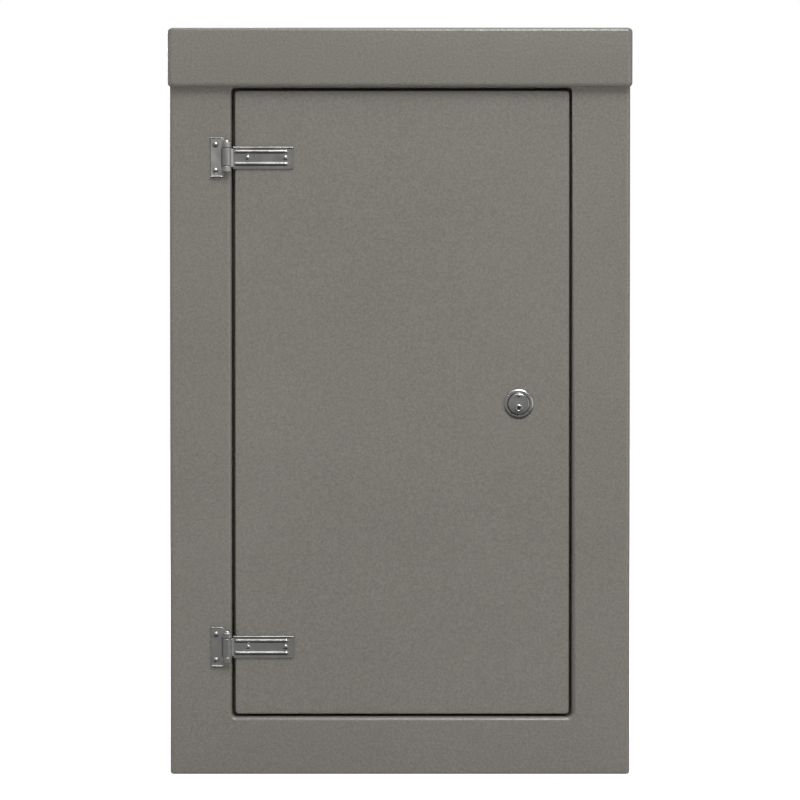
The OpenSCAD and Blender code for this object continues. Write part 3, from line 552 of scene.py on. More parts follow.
@known
def moulded(colour, roughness=0.42, grain=700):
    """Moulded plastic of one colour with a spark-eroded grain."""
    tree, finish = shader_of("moulded", roughness)
    where = place(tree)
    tone = noise(tree, where, 14, 3.0)
    shade = grade(tree, tone, [(0.3, tinted(colour, 0.9)), (0.75, tinted(colour, 1.06))])
    normal = dents(tree, (noise(tree, where, grain, 2.0), 0.016 * MM))
    return finish(shade, normal, reach(tree, tone, 0.3, 0.7, roughness - 0.05, roughness + 0.07))


@known
def plywood():
    """Birch plywood: long grain on the faces and stacked veneers on the edges."""
    tree, finish = shader_of("plywood", 0.6)
    veneer, pale, glue = 2.9 * MM, (0.50, 0.34, 0.18), (0.22, 0.12, 0.05)
    grain = noise(tree, place(tree, (1, 1, 0.06)), 70, 6.0, 0.65, 0.6)
    fine = noise(tree, place(tree, (1, 1, 0.03)), 800, 3.0)
    face = grade(tree, grain, [(0.25, (0.36, 0.22, 0.10)), (0.5, (0.52, 0.35, 0.18)),
                               (0.8, (0.62, 0.45, 0.26))])
    face = blend(tree, reach(tree, fine, 0.55, 0.75, 0, 0.35), face, (0.25, 0.14, 0.06))
    layers = sums(tree, "FRACT", sums(tree, "MULTIPLY", axis_of(tree, "Y"), 1 / veneer))
    edge = grade(tree, layers, [(0.0, pale), (0.48, pale), (0.52, glue), (0.98, glue)])
    normal = node(tree, "NewGeometry").outputs["Normal"]
    facing = sums(tree, "ABSOLUTE", node(tree, "SeparateXYZ", {"Vector": normal}).outputs["Y"])
    colour = blend(tree, reach(tree, facing, 0.5, 0.7), edge, face)
    rough = reach(tree, grain, 0.2, 0.8, 0.5, 0.68)
    return finish(colour, dents(tree, (grain, 0.25 * MM), (fine, 0.06 * MM)), rough)


@known
def softwood():
    """Sawn pine: growth rings running along X."""
    tree, finish = shader_of("softwood", 0.68)
    bent = noise(tree, place(tree, (0.6, 4, 4)), 6, 3.0)
    rings = node(tree, "TexWave", {"Vector": place(tree, (0.12, 1, 1)), "Scale": 55.0, "Distortion": 3.5,
                                   "Detail": 3.0, "Detail Scale": 1.4}, bands_direction="Z").outputs["Fac"]
    colour = grade(tree, rings, [(0.15, (0.58, 0.40, 0.21)), (0.85, (0.40, 0.23, 0.10))])
    colour = blend(tree, reach(tree, bent, 0.6, 0.72, 0, 0.4), colour, (0.3, 0.15, 0.06))
    saw = noise(tree, place(tree, (12, 1, 1)), 60, 2.0)
    return finish(colour, dents(tree, (rings, 0.2 * MM), (saw, 0.25 * MM)))


@known
def brass():
    """Brass that has started to dull."""
    tree, finish = shader_of("brass", 0.28, 1.0)
    tarnish = noise(tree, place(tree), 120, 4.0)
    colour = grade(tree, tarnish, [(0.3, (0.50, 0.36, 0.16)), (0.7, (0.72, 0.54, 0.26))])
    return finish(colour, dents(tree, (noise(tree, place(tree), 900), 0.006 * MM)),
                  reach(tree, tarnish, 0.3, 0.7, 0.4, 0.22))


@known
def powder_coat():
    """Powder coated steel: a fine, even orange peel on signal red."""
    base = colours().unit_red
    tree, finish = shader_of("powder_coat", 0.36)
    where = place(tree)
    tone = noise(tree, where, 10, 3.0)
    colour = grade(tree, tone, [(0.3, tinted(base, 0.92)), (0.7, tinted(base, 1.05))])
    normal = dents(tree, (noise(tree, where, 620, 1.0), 0.03 * MM), (noise(tree, where, 2200), 0.008 * MM))
    return finish(colour, normal, reach(tree, tone, 0.3, 0.7, 0.32, 0.42))


@known
def fascia_film():
    """Printed film: pale grey, with a darker band round the display and thin lines between zones."""
    tree, finish = shader_of("fascia_film", 0.42)
    low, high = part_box("unit_fascia")
    window_low, window_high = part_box("display_window")
    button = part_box("reset_button")[1]
    x, z = axis_of(tree, "X"), axis_of(tree, "Z")
    blur = 0.2 * MM
    panel_top, panel_foot = button.z + 12 * MM, low.z + 20 * MM

    def above(coordinate, at):
        """1 past a place, 0 short of it."""
        return reach(tree, coordinate, at, at + blur)

    def below(coordinate, at):
        """1 short of a place, 0 past it."""
        return reach(tree, coordinate, at, at - blur)

    band = sums(tree, "MULTIPLY", above(z, window_low.z - 7 * MM), below(z, window_high.z + 6.8 * MM))
    dark = sums(tree, "MULTIPLY", band, below(x, window_high.x + 8 * MM))
    panel = sums(tree, "MULTIPLY", below(z, panel_top), above(z, panel_foot))
    weave = noise(tree, place(tree), 900, 2.0)
    tone = grade(tree, weave, [(0.3, (0.50, 0.51, 0.50)), (0.7, (0.56, 0.57, 0.56))])
    colour = blend(tree, dark, tone, (0.045, 0.05, 0.055))
    colour = blend(tree, sums(tree, "MULTIPLY", panel, 0.55), colour, (0.30, 0.32, 0.34))
    for line in (panel_top, panel_foot, high.z - 6 * MM):
        near = reach(tree, sums(tree, "ABSOLUTE", sums(tree, "SUBTRACT", z, line)), 0.5 * MM, 0.35 * MM)
        colour = blend(tree, near, colour, (0.5, 0.03, 0.025))
    return finish(colour, dents(tree, (weave, 0.01 * MM)))


@known
def display_glass():
    """A dark display with faint character cells under a smooth window."""
    tree, finish = shader_of("display_glass", 0.12, Coat_Weight=1.0, Coat_Roughness=0.03)
    cells = bricks(tree, 4.5 * MM, 8.5 * MM, 0.5 * MM, Color1=(0.03, 0.055, 0.035, 1),
                   Color2=(0.034, 0.062, 0.04, 1), Mortar=(0.022, 0.042, 0.028, 1)).outputs["Color"]
    return finish(cells, dents(tree, (noise(tree, place(tree), 60, 1.0), 0.004 * MM)))


@known
def lamp_lens(colour):
    """A tinted lens of an unlit lamp."""
    tree, finish = shader_of("lamp_lens", 0.2, Coat_Weight=0.8, Coat_Roughness=0.05, Subsurface_Weight=0.25,
                             Subsurface_Scale=0.002)
    depth = noise(tree, place(tree), 900, 2.0)
    return finish(grade(tree, depth, [(0.3, tinted(colour, 0.7)), (0.7, colour)]))


@known
def solder_mask():
    """Green circuit board: copper tracks that run square to each other under the mask."""
    tree, finish = shader_of("solder_mask", 0.3)
    across = bricks(tree, 27 * MM, 3.2 * MM, 0.5 * MM, 0.37).outputs["Fac"]
    down = bricks(tree, 4.1 * MM, 35 * MM, 0.6 * MM).outputs["Fac"]
    area = reach(tree, noise(tree, place(tree), 26, 1.0), 0.49, 0.5)
    tracks = sums(tree, "ADD", sums(tree, "MULTIPLY", across, area),
                  sums(tree, "MULTIPLY", down, sums(tree, "SUBTRACT", 1.0, area)))
    tracks = sums(tree, "MINIMUM", tracks, 1.0)
    colour = blend(tree, tracks, (0.008, 0.085, 0.03), (0.02, 0.17, 0.06))
    return finish(colour, dents(tree, (tracks, 0.035 * MM)))


@known
def case_steel():
    """Galvanised case steel with a large, soft spangle."""
    tree, finish = shader_of("case_steel", 0.42, 1.0)
    shade = spangle(tree, 85.0)
    colour = grade(tree, shade, [(0.0, (0.50, 0.51, 0.52)), (1.0, (0.66, 0.67, 0.68))])
    normal = dents(tree, (noise(tree, place(tree), 500), 0.01 * MM))
    return finish(colour, normal, reach(tree, shade, 0, 1, 0.3, 0.5))


def black_trim():
    """Black moulding of the display's bezel and the lamps' collars."""
    return moulded((0.012, 0.012, 0.013), 0.35, 900)


@known
def floor_paint():
    """Pale matt floor that the camera sees lit from below, as a light table is."""
    tree, finish = shader_of("floor_paint", 0.9, Emission_Color=(1.0, 1.0, 1.0, 1.0), Specular_IOR_Level=0.1)
    seen = node(tree, "LightPath").outputs["Is Camera Ray"]
    strength = tree.nodes["Principled BSDF"].inputs["Emission Strength"]
    tree.links.new(reach(tree, seen, 0, 1, 0.15, 0.62), strength)
    tone = noise(tree, place(tree), 1.5, 3.0)
    return finish(grade(tree, tone, [(0.3, (0.82, 0.82, 0.82)), (0.7, (0.86, 0.86, 0.86))]))


# ---------------------------------------------------------------- settings

def colour_setting(label, about, value):
    """A colour that a user may change."""
    return bpy.props.FloatVectorProperty(name=label, description=about, default=value, subtype="COLOR",
                                         size=3, min=0.0, max=1.0)


def length_setting(label, about, value):
    """A length that a user may change."""
    return bpy.props.FloatProperty(name=label, description=about, default=value, min=0.0, unit="LENGTH",
                                   precision=4)


class KioskSizes(bpy.types.PropertyGroup):
    """Radii and depths of the finished surfaces."""

    opening_edge: length_setting("Opening edge", "Radius of the front edge of the door opening", 8 * MM)
    body_edge: length_setting("Body edge", "Radius of the body's other edges", 1 * MM)
    canopy_edge: length_setting("Canopy edge", "Radius of the roll round the canopy's top", 7 * MM)
    canopy_hem: length_setting("Canopy hem", "Radius of the canopy's lower edge", 5 * MM)
    door_edge: length_setting("Door edge", "Radius of the door's front edge", 2.5 * MM)
    strap_rib: length_setting("Strap rib", "Radius of the pressed ribs on a strap", 3.6 * MM)
    orange_peel: length_setting("Orange peel", "Size of the gelcoat's orange peel", 4 * MM)


class KioskColours(bpy.types.PropertyGroup):
    """Colours of the finishes."""

    gelcoat: colour_setting("Gelcoat", "Outer surface of the body, canopy and door", (0.196, 0.186, 0.163))
    laminate: colour_setting("Laminate", "Inner side of the mouldings", (0.30, 0.295, 0.275))
    unit_red: colour_setting("Unit red", "Case of the control unit", (0.42, 0.018, 0.014))
    white_plastic: colour_setting("White plastic", "Conduits and the spur", (0.74, 0.74, 0.71))
    black_plastic: colour_setting("Black plastic", "Vents, pocket and batteries", (0.02, 0.02, 0.021))


# ---------------------------------------------------------------- the cabinet

# How far from a side of the body a point is still on its wall, and how far the door opening's edges lie
# from the door
BODY_WALL = 4 * MM
DOOR_MARGIN = 10 * MM


class KIOSK_OT_body(bpy.types.Operator):
    """Finishes the body moulding: a generous radius round the door opening and small ones elsewhere."""

    bl_idname = "kiosk.body"
    bl_label = "Body moulding"

    def execute(self, context):
        mesh = welded("cabinet_shell")
        mesh.materials.append(gelcoat())
        mesh.materials.append(laminate())
        self.weigh_edges(mesh)
        low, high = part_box("cabinet_shell")
        door_low, door_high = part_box("door_skin")
        x, y, _ = read_all(mesh.polygons, "center", 3).T
        inside = (y > low.y + 6 * MM) & (y < high.y - BODY_WALL) & (np.abs(x) < high.x - BODY_WALL)
        jamb = ((x > door_low.x - DOOR_MARGIN) & (x < door_high.x + DOOR_MARGIN)
                & (y < door_high.y + 12 * MM) & (y > low.y))
        mesh.polygons.foreach_set("material_index", (inside & ~jamb).astype(int))
        piece = new_object("body_moulding", mesh, "root", ("cabinet_shell",))
        add_bevel(piece, sizes().opening_edge, 4, by_weight=True)
        return {"FINISHED"}

    def weigh_edges(self, mesh):
        """Gives each sharp edge its share of the opening's radius. What the canopy covers stays sharp."""
        low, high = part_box("cabinet_shell")
        door_low, door_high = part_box("door_skin")
        flush = 0.1 * MM
        mesh.set_sharp_from_angle(angle=math.radians(35))
        sharp = read_all(mesh.attributes["sharp_edge"].data, "value", 1, bool)[:, 0]
        ends = read_all(mesh.vertices, "co", 3)[read_all(mesh.edges, "vertices", 2, int)]
        x, y, z = np.moveaxis(ends, 2, 0)
        opening = ((np.abs(y - low.y) < flush)
                   & (x > door_low.x - DOOR_MARGIN) & (x < door_high.x + DOOR_MARGIN)
                   & (z > door_low.z - DOOR_MARGIN) & (z < door_high.z + DOOR_MARGIN)).all(1)
        foot = ((np.abs(z - low.z) < flush)
                & ((np.abs(x) > high.x - BODY_WALL) | (y < low.y + BODY_WALL)
                   | (y > high.y - BODY_WALL))).all(1)
        covered = (z > door_high.z - 3 * MM).all(1)
        weight = np.where(sharp, sizes().body_edge / sizes().opening_edge, 0.0)
        weight[sharp & opening] = 1.0
        weight[sharp & foot] = 0.5
        weight[covered] = 0.0
        mesh.attributes.new("bevel_weight_edge", "FLOAT", "EDGE").data.foreach_set("value", weight)
        mesh.attributes["sharp_edge"].data.foreach_set("value", sharp & covered)


class KIOSK_OT_canopy(bpy.types.Operator):
    """Makes the roof canopy: level outlines that follow a rolled hem, the fascia and a rolled top edge."""

    bl_idname = "kiosk.canopy"
    bl_label = "Roof canopy"

    def execute(self, context):
        low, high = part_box("roof_canopy")
        shell_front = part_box("cabinet_shell")[0].y
        hem, roll = sizes().canopy_hem, sizes().canopy_edge
        wall, plan_radius, fall = 5 * MM, 10 * MM, 8 * MM
        rim_x, rim_y = high.x - 8.5 * MM, (shell_front - 0.5 * MM, high.y - 8.5 * MM)

        def ring(inset, drop=None, height=None, rim=False):
            """One level outline, at a height or at a drop below the sloping roof."""
            x = rim_x if rim else high.x - inset
            y = rim_y if rim else (low.y + inset, high.y - inset)
            flat = outline((-x, x), y, max(plan_radius - inset, 2 * MM), 8)
            if height is None:
                slope = (flat[:, 1] - low.y) / (high.y - low.y)
                return level(flat, high.z - slope * fall - drop)
            return level(flat, height)

        hem_arc = arc((hem, low.z + hem), hem, 270, 180, 5)
        roll_arc = arc((roll, roll), roll, 180, 270, 6)
        rings = [ring(0, height=low.z + wall, rim=True), ring(0, height=low.z, rim=True)]
        rings += [ring(inset, height=z) for inset, z in hem_arc]
        rings += [ring(inset, drop=drop) for inset, drop in roll_arc]
        rings += [ring(2 * roll, drop=0)]
        inner = [ring(wall, drop=wall * 2), ring(wall, height=low.z + wall)]
        shape = surface(np.array(inner + rings), caps=True)
        build("canopy_moulding", [(*shape, gelcoat())], "root", ("roof_canopy",), 50)
        softened("canopy_bolts", 0.3 * MM, stainless())
        return {"FINISHED"}


class KIOSK_OT_door(bpy.types.Operator):
    """Makes the door: a rolled skin over a plywood core, with a ribbed liner and a log book pocket."""

    bl_idname = "kiosk.door"
    bl_label = "Door"

    def execute(self, context):
        low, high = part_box("door_skin")
        edge = sizes().door_edge
        wall, corner, ease = 5 * MM, 6 * MM, 0.8 * MM
        front = arc((-edge, low.y + edge), edge, 0, -90, 5)
        steps_in = -np.linspace(4 * edge, (high.x - low.x) / 2 - 2 * MM, 12)
        rows = [(-wall, low.y + wall, 2 * MM), (-wall, high.y, 2 * MM), (-ease, high.y, wall),
                (0, high.y - ease, corner)]
        rows += [(grow, y, corner + grow) for grow, y in front]
        rows += [(grow, low.y, 2 * MM) for grow in steps_in]
        shape = surface(frame_rings((low.x, high.x), (low.z, high.z), rows), caps=True)
        build("door_moulding", [(*shape, gelcoat())], "door", ("door_skin",), 50)
        softened("door_core", 0.3 * MM, plywood())
        softened("door_liner", 2.5 * MM, laminate(), 3)
        black = moulded(tuple(colours().black_plastic), 0.5, 500)
        softened("logbook_pocket", 0.8 * MM, black)
        return {"FINISHED"}


class KIOSK_OT_seal(bpy.types.Operator):
    """Makes the door seal: a rubber bulb on a flat foot, carried round the opening."""

    bl_idname = "kiosk.seal"
    bl_label = "Door seal"

    def execute(self, context):
        low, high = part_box("door_seal")
        foot, lip = high.y, high.y - 1.6 * MM
        neck = high.y - 2 * MM
        bulb_middle, half_width = -6.5 * MM, 4.6 * MM
        turn = np.radians(np.linspace(170, 10, 13))
        rows = [(0, foot, 6 * MM), (0, lip, 6 * MM), (-1.2 * MM, neck, 6 * MM)]
        rows += [(bulb_middle - half_width * np.cos(angle), neck - (neck - low.y) * np.sin(angle), 5 * MM)
                 for angle in turn]
        rows += [(-12 * MM, lip, 3 * MM), (-12 * MM, foot, 3 * MM)]
        shape = surface(frame_rings((low.x, high.x), (low.z, high.z), rows), along=True)
        build("bulb_seal", [(*shape, rubber())], "root", ("door_seal",), 60)
        return {"FINISHED"}


class KIOSK_OT_vents(bpy.types.Operator):
    """Finishes the two louvred vents."""

    bl_idname = "kiosk.vents"
    bl_label = "Vents"

    def execute(self, context):
        softened("side_vents", 0.35 * MM, moulded((0.035, 0.035, 0.036), 0.46, 800))
        return {"FINISHED"}


# ---------------------------------------------------------------- hinges

def capsule_height(x, z, start, end, centre_z, radius, proud):
    """Height of a pressed rib: a half round of the given radius about the line from start to end, sunk
    so that it stands proud by the given amount."""
    along = np.clip(x, start, end)
    away = np.hypot(x - along, z - centre_z)
    return np.maximum(np.sqrt(np.maximum(radius ** 2 - away ** 2, 0)) - (radius - proud), 0)


def strap_plate(low, high, centre_z, face_y, back_y):
    """The strap's pressed plate: a grid whose front rises over two ribs, one rolled edge and a round rim."""
    across = np.linspace(-1, 1, 141)
    along = np.concatenate([np.linspace(0, 0.06, 10)[:-1], np.linspace(0.06, 0.94, 90),
                            np.linspace(0.94, 1, 14)[1:]])
    u, v = np.meshgrid(along, across, indexing="ij")
    x = low.x + u * (high.x - low.x)
    half = (high.z - low.z) / 2
    corner = 3 * MM
    over = np.maximum(x - (high.x - corner), 0)
    reach_z = half - corner + np.sqrt(np.maximum(corner ** 2 - over ** 2, 0))
    z = centre_z + v * reach_z
    rib = sizes().strap_rib
    height = np.zeros_like(x)
    rib_out, rib_proud = 10.2 * MM, 2.3 * MM
    rib_start, rib_end = low.x + 5 * MM, high.x - 13 * MM
    for rib_z in (centre_z - rib_out, centre_z + rib_out):
        pressed = capsule_height(x, z, rib_start, rib_end, rib_z, rib, rib_proud)
        height = np.maximum(height, pressed)
    roll, proud = 2 * MM, 1.5 * MM
    rolled = capsule_height(x, z, low.x, high.x - roll, centre_z + half - roll, roll, proud)
    height = np.maximum(height, rolled)
    inside = np.minimum(reach_z - np.abs(z - centre_z), high.x - x)
    rim = 0.6 * MM
    fall = rim - np.sqrt(np.maximum(rim ** 2 - np.maximum(rim - inside, 0) ** 2, 0))
    front = np.stack([x, face_y - height + fall, z], -1)
    back = np.stack([x, np.full_like(x, back_y), z], -1)
    rings = np.concatenate([front, back[:, ::-1]], axis=1)
    return surface(rings, caps=True)


# The sheet of the hinges, its eyes round the pin, and how much duller it is where it was bent
KNUCKLE_RADIUS = 7.5 * MM
KNUCKLE_BORE = 4.05 * MM
HINGE_SHEET = 2.4 * MM
BENT_DULLNESS = 0.2


def wrapped_knuckle(axis, z, lead_x, lead_y):
    """A sheet that runs in from lead_x and wraps round the pin: its section is two circles about the pin,
    joined to a straight lead, carried up from the first height to the second, with its ends eased."""
    centre = np.array([axis.x, axis.y])
    outer = arc(centre, KNUCKLE_RADIUS, 90, -250, 29)
    inner = arc(centre, KNUCKLE_BORE, 90, -250, 29)
    section = np.concatenate([[[lead_x, lead_y + HINGE_SHEET]], outer, inner[::-1], [[lead_x, lead_y]]])
    offset = section - centre
    span = np.linalg.norm(offset, axis=1, keepdims=True)
    on_outer = (span < KNUCKLE_RADIUS * 1.1) & (span > (KNUCKLE_RADIUS + KNUCKLE_BORE) / 2)
    ease = 0.9 * MM
    rows = [level(centre + offset * np.where(on_outer, 1 - shrink / span, 1.0), height)
            for height, shrink in ((z[0], ease), (z[0] + ease, 0.0), (z[1] - ease, 0.0), (z[1], ease))]
    return surface(np.array(rows), caps=True)


class KIOSK_OT_hinges(bpy.types.Operator):
    """Makes the polished strap hinges: leaves, pressed straps, pins, bolts and nut plates."""

    bl_idname = "kiosk.hinges"
    bl_label = "Hinges"

    def execute(self, context):
        axis = middle("hinge_pins")
        steel = stainless()
        for level_name in ("upper", "lower"):
            self.make_leaf("hinge_leaf_" + level_name, axis, steel)
            self.make_strap("hinge_strap_" + level_name, axis, steel)
        self.make_pins(axis, steel)
        self.make_heads("leaf_bolts", "root", steel)
        self.make_heads("strap_bolts", "door", steel)
        softened("leaf_nut_plates", 0.3 * MM, zinc())
        return {"FINISHED"}

    def make_leaf(self, node_name, axis, steel):
        """Fixed leaf: a flat plate with half-round lips, and two ears wrapped round the pin."""
        low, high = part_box(node_name)
        centre_z = (low.z + high.z) / 2
        face, back = high.y - 3 * MM, high.y
        half = (high.z - low.z) / 2
        gap, ear = 15.3 * MM, 25 * MM
        root, notch = axis.x - 8 * MM, axis.x - 9 * MM
        flat = np.array([[low.x, -half], [root, -half], [axis.x, -ear], [axis.x, -gap], [notch, -gap],
                         [notch, gap], [axis.x, gap], [axis.x, ear], [root, half], [low.x, half]])
        bent = stainless(BENT_DULLNESS)
        parts = [(*slab(flat + [0, centre_z], (face, back)), bent)]
        for side, lip_radius in ((-1, 1.9 * MM), (1, 1.0 * MM)):
            ends = sorted((centre_z + side * gap, centre_z + side * ear))
            parts.append((*wrapped_knuckle(axis, ends, root, back - HINGE_SHEET), bent))
            lip_z = centre_z + side * (half - lip_radius)
            lip = [[low.x + 0.2 * MM, face, lip_z], [low.x + 1.2 * MM, face, lip_z],
                   [root - 2 * MM, face, lip_z], [root + 1.5 * MM, face + 1 * MM, lip_z - side * 1.2 * MM]]
            parts.append((*tube(smooth_path(lip, 5), lip_radius, 16), steel))
        build(node_name + "_pressed", parts, "root", (node_name,), bevel=0.35 * MM)

    def make_strap(self, node_name, axis, steel):
        """Strap: a pressed plate, a cranked root and a knuckle wrapped round the pin."""
        low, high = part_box(node_name)
        centre_z = (low.z + high.z) / 2
        back = high.y
        face = back - 2.5 * MM
        knuckle = (centre_z - 15 * MM, centre_z + 15 * MM)
        plate_low = Vector((axis.x + 10 * MM, 0, low.z))
        run = axis.x + np.array([0, 6.0, 8.5, 10.5, 14.0]) * MM
        rear = [*(axis.y + np.array([7.4, 7.5, 8.6]) * MM), back - 0.4 * MM, back - 0.4 * MM]
        line = np.column_stack([run, rear])
        crank = np.concatenate([line, line[::-1] - [0, 1.8 * MM]])
        bent = stainless(BENT_DULLNESS)
        parts = [(*strap_plate(plate_low, high, centre_z, face, back), steel),
                 (*column(crank, knuckle), bent),
                 (*wrapped_knuckle(axis, knuckle, axis.x + 2 * MM, axis.y + 5 * MM), bent)]
        build(node_name + "_pressed", parts, "door", (node_name,), smooth=40)

    def make_pins(self, axis, steel):
        """Pins with domed heads and chamfered tails."""
        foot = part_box("hinge_pins")[0].z
        rise = middle("hinge_leaf_upper").z - middle("hinge_leaf_lower").z
        length, head_radius = 51.5, 5.8
        turn = np.linspace(0, np.pi / 2, 7)
        radius = np.concatenate([[0, 3.4, 4.0, 4.0, head_radius], head_radius * np.cos(turn)]) * MM
        height = np.concatenate([[0, 0, 0.6, length, length], length + 0.4 + 4.1 * np.sin(turn)]) * MM
        parts = [(*spun(radius, base + height, axis.x, axis.y), steel) for base in (foot, foot + rise)]
        build("hinge_pins_turned", parts, "root", ("hinge_pins",), smooth=40)

    def make_heads(self, node_name, body, steel):
        """Domed bolt heads on thin washers, with their shanks, at the places of the CAD bolts. A strap's
        bolts also have a hexagon nut behind the door's skin."""
        low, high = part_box(node_name)
        on_strap = node_name == "strap_bolts"
        washer_radius = 5 * MM
        places_x = [low.x + washer_radius] + [high.x - washer_radius] * on_strap
        offsets = (0.0,) if on_strap else (-21.4 * MM, 21.4 * MM)
        seat = low.y + 2.6 * MM
        washer = [*from_face([[0, -0.5], [4.7, -0.5], [5, -0.2], [5, 0], [3.2, 0]], seat),
                  [3.2 * MM, high.y], [0, high.y]]
        nut_face, nut_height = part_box("door_skin")[0].y + 5 * MM, 5 * MM
        parts = []
        for hinge in ("hinge_leaf_upper", "hinge_leaf_lower"):
            for at in [(x, middle(hinge).z + offset) for x in places_x for offset in offsets]:
                parts.append((*dome(at, seat - 0.5 * MM, 4.3 * MM, 2.1 * MM), steel))
                parts.append((*turned(washer, at, 28), steel))
                if on_strap:
                    hexagon = arc(at, 6 * MM, 0, 300, 5)
                    parts.append((*slab(hexagon, (nut_face, nut_face + nut_height)), steel))
        build(node_name + "_turned", parts, body, (node_name,), smooth=40)


# ---------------------------------------------------------------- lock

class KIOSK_OT_lock(bpy.types.Operator):
    """Makes the lock: a rounded rose with spanner slots, the keyhole cover, the barrel, cam and keep."""

    bl_idname = "kiosk.lock"
    bl_label = "Lock"

    def execute(self, context):
        steel = stainless()
        self.make_rose(steel)
        self.make_cover(spot("lock_rose"), steel)
        rivet_low, rivet_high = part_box("cover_rivet")
        at = spot("cover_rivet")
        seat = rivet_low.y + 1.7 * MM
        shank = [[0, seat], [2 * MM, seat], [2 * MM, rivet_high.y], [0, rivet_high.y]]
        head = dome(at, rivet_low.y + 1.8 * MM, 3.5 * MM, 1.8 * MM, 32)
        parts = [(*head, steel), (*turned(shank, at, 24), steel)]
        build("rivet_headed", parts, "door", ("cover_rivet",), smooth=40)
        softened("lock_plug", 0.25 * MM, brass())
        for name, edge in (("lock_barrel", 0.4), ("lock_nut", 0.5), ("lock_cam", 0.4), ("cam_nut", 0.4)):
            softened(name, edge * MM, zinc())
        softened("lock_keep", 0.3 * MM, stainless())
        softened("keep_screws", 0.3 * MM, zinc())
        return {"FINISHED"}

    def make_rose(self, steel):
        """The rose: a turned disc with a rounded rim, a shallow well and four spanner slots in the rim."""
        low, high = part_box("lock_rose")
        face, back = low.y, high.y
        centre = spot("lock_rose")
        radius = high.x - centre[0]

        def slots(angle, at):
            """Depth of four narrow slots across the rim, a quarter turn apart."""
            away = np.abs((angle - 50 + 45) % 90 - 45)
            width = np.clip((3.2 - away) / 0.8, 0, 1)
            on_rim = np.clip((at - 19.2 * MM) / (0.5 * MM), 0, 1)
            return 1.3 * MM * width * on_rim * (at < radius - 0.05 * MM)

        roll = np.linspace(0, np.pi / 2, 9)
        crest, skirt = 20 * MM, back - 0.4 * MM
        rim = np.column_stack([crest + (radius - crest) * np.cos(roll),
                               skirt - (skirt - face) * np.sin(roll)])
        well = from_face([[19.2, 0], [18.6, 0.5], [18.1, 0.7], [7.4, 0.7], [7.1, 1.0]], face)
        profile = np.concatenate([[[radius, back]], rim, well, [[7.1 * MM, back]]])
        spans = [np.linspace(start, end, 4, endpoint=False) for start, end in zip(profile[:-1], profile[1:])]
        points, faces = turned(np.concatenate([*spans, profile[-1:]]), centre, 240, relief=slots)
        points[:, 1] = np.minimum(points[:, 1], back)
        build("rose_turned", [(points, faces, steel)], "door", ("lock_rose",), smooth=30)

    def make_cover(self, centre, steel):
        """Keyhole cover: a turned disc with a raised, dimpled thumb ring near its lower edge, its dimple
        filled with a thin black disc as painted shade of a hole.
        """
        low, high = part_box("keyhole_cover")
        radius = (high.x - low.x) / 2
        face = low.y + 2 * MM
        disc = [[0, face], [radius - 1.2 * MM, face], [radius - 0.4 * MM, face + 0.25 * MM],
                [radius, face + 0.8 * MM], [radius, high.y], [0, high.y]]
        thumb = (centre[0], centre[1] - 7 * MM)
        turn = np.linspace(0, np.pi, 9)
        ring = np.column_stack([4.6 + 1.9 * np.cos(turn), -2 * np.sin(turn)])
        profile = from_face([[6.5, 0.3], *ring, [2.7, -0.2], [2.5, 0.25], [0, 0.25]], face)
        # A thin black disc fills the ring's dimple: painted shade standing in for the dark hole at the thumb
        # ring's centre.
        hole_shade_disc = from_face([[0, -0.02], [2.5, -0.02], [2.5, 0.2], [0, 0.2]], face)
        parts = [(*turned(disc, centre, 96), steel), (*turned(profile, thumb, 64), steel),
                 (*turned(hole_shade_disc, thumb, 32), rubber())]
        build("cover_turned", parts, "keyhole_cover", ("keyhole_cover",), smooth=40)


# ---------------------------------------------------------------- back board, conduits and spur

class KIOSK_OT_board(bpy.types.Operator):
    """Finishes the battens, the back board, its screws and the earth bar."""

    bl_idname = "kiosk.board"
    bl_label = "Back board"

    def execute(self, context):
        softened("back_battens", 1.0 * MM, softwood())
        softened("back_board", 0.6 * MM, plywood())
        softened("board_screws", 0.15 * MM, zinc())
        softened("earth_bar", 0.4 * MM, brass())
        return {"FINISHED"}


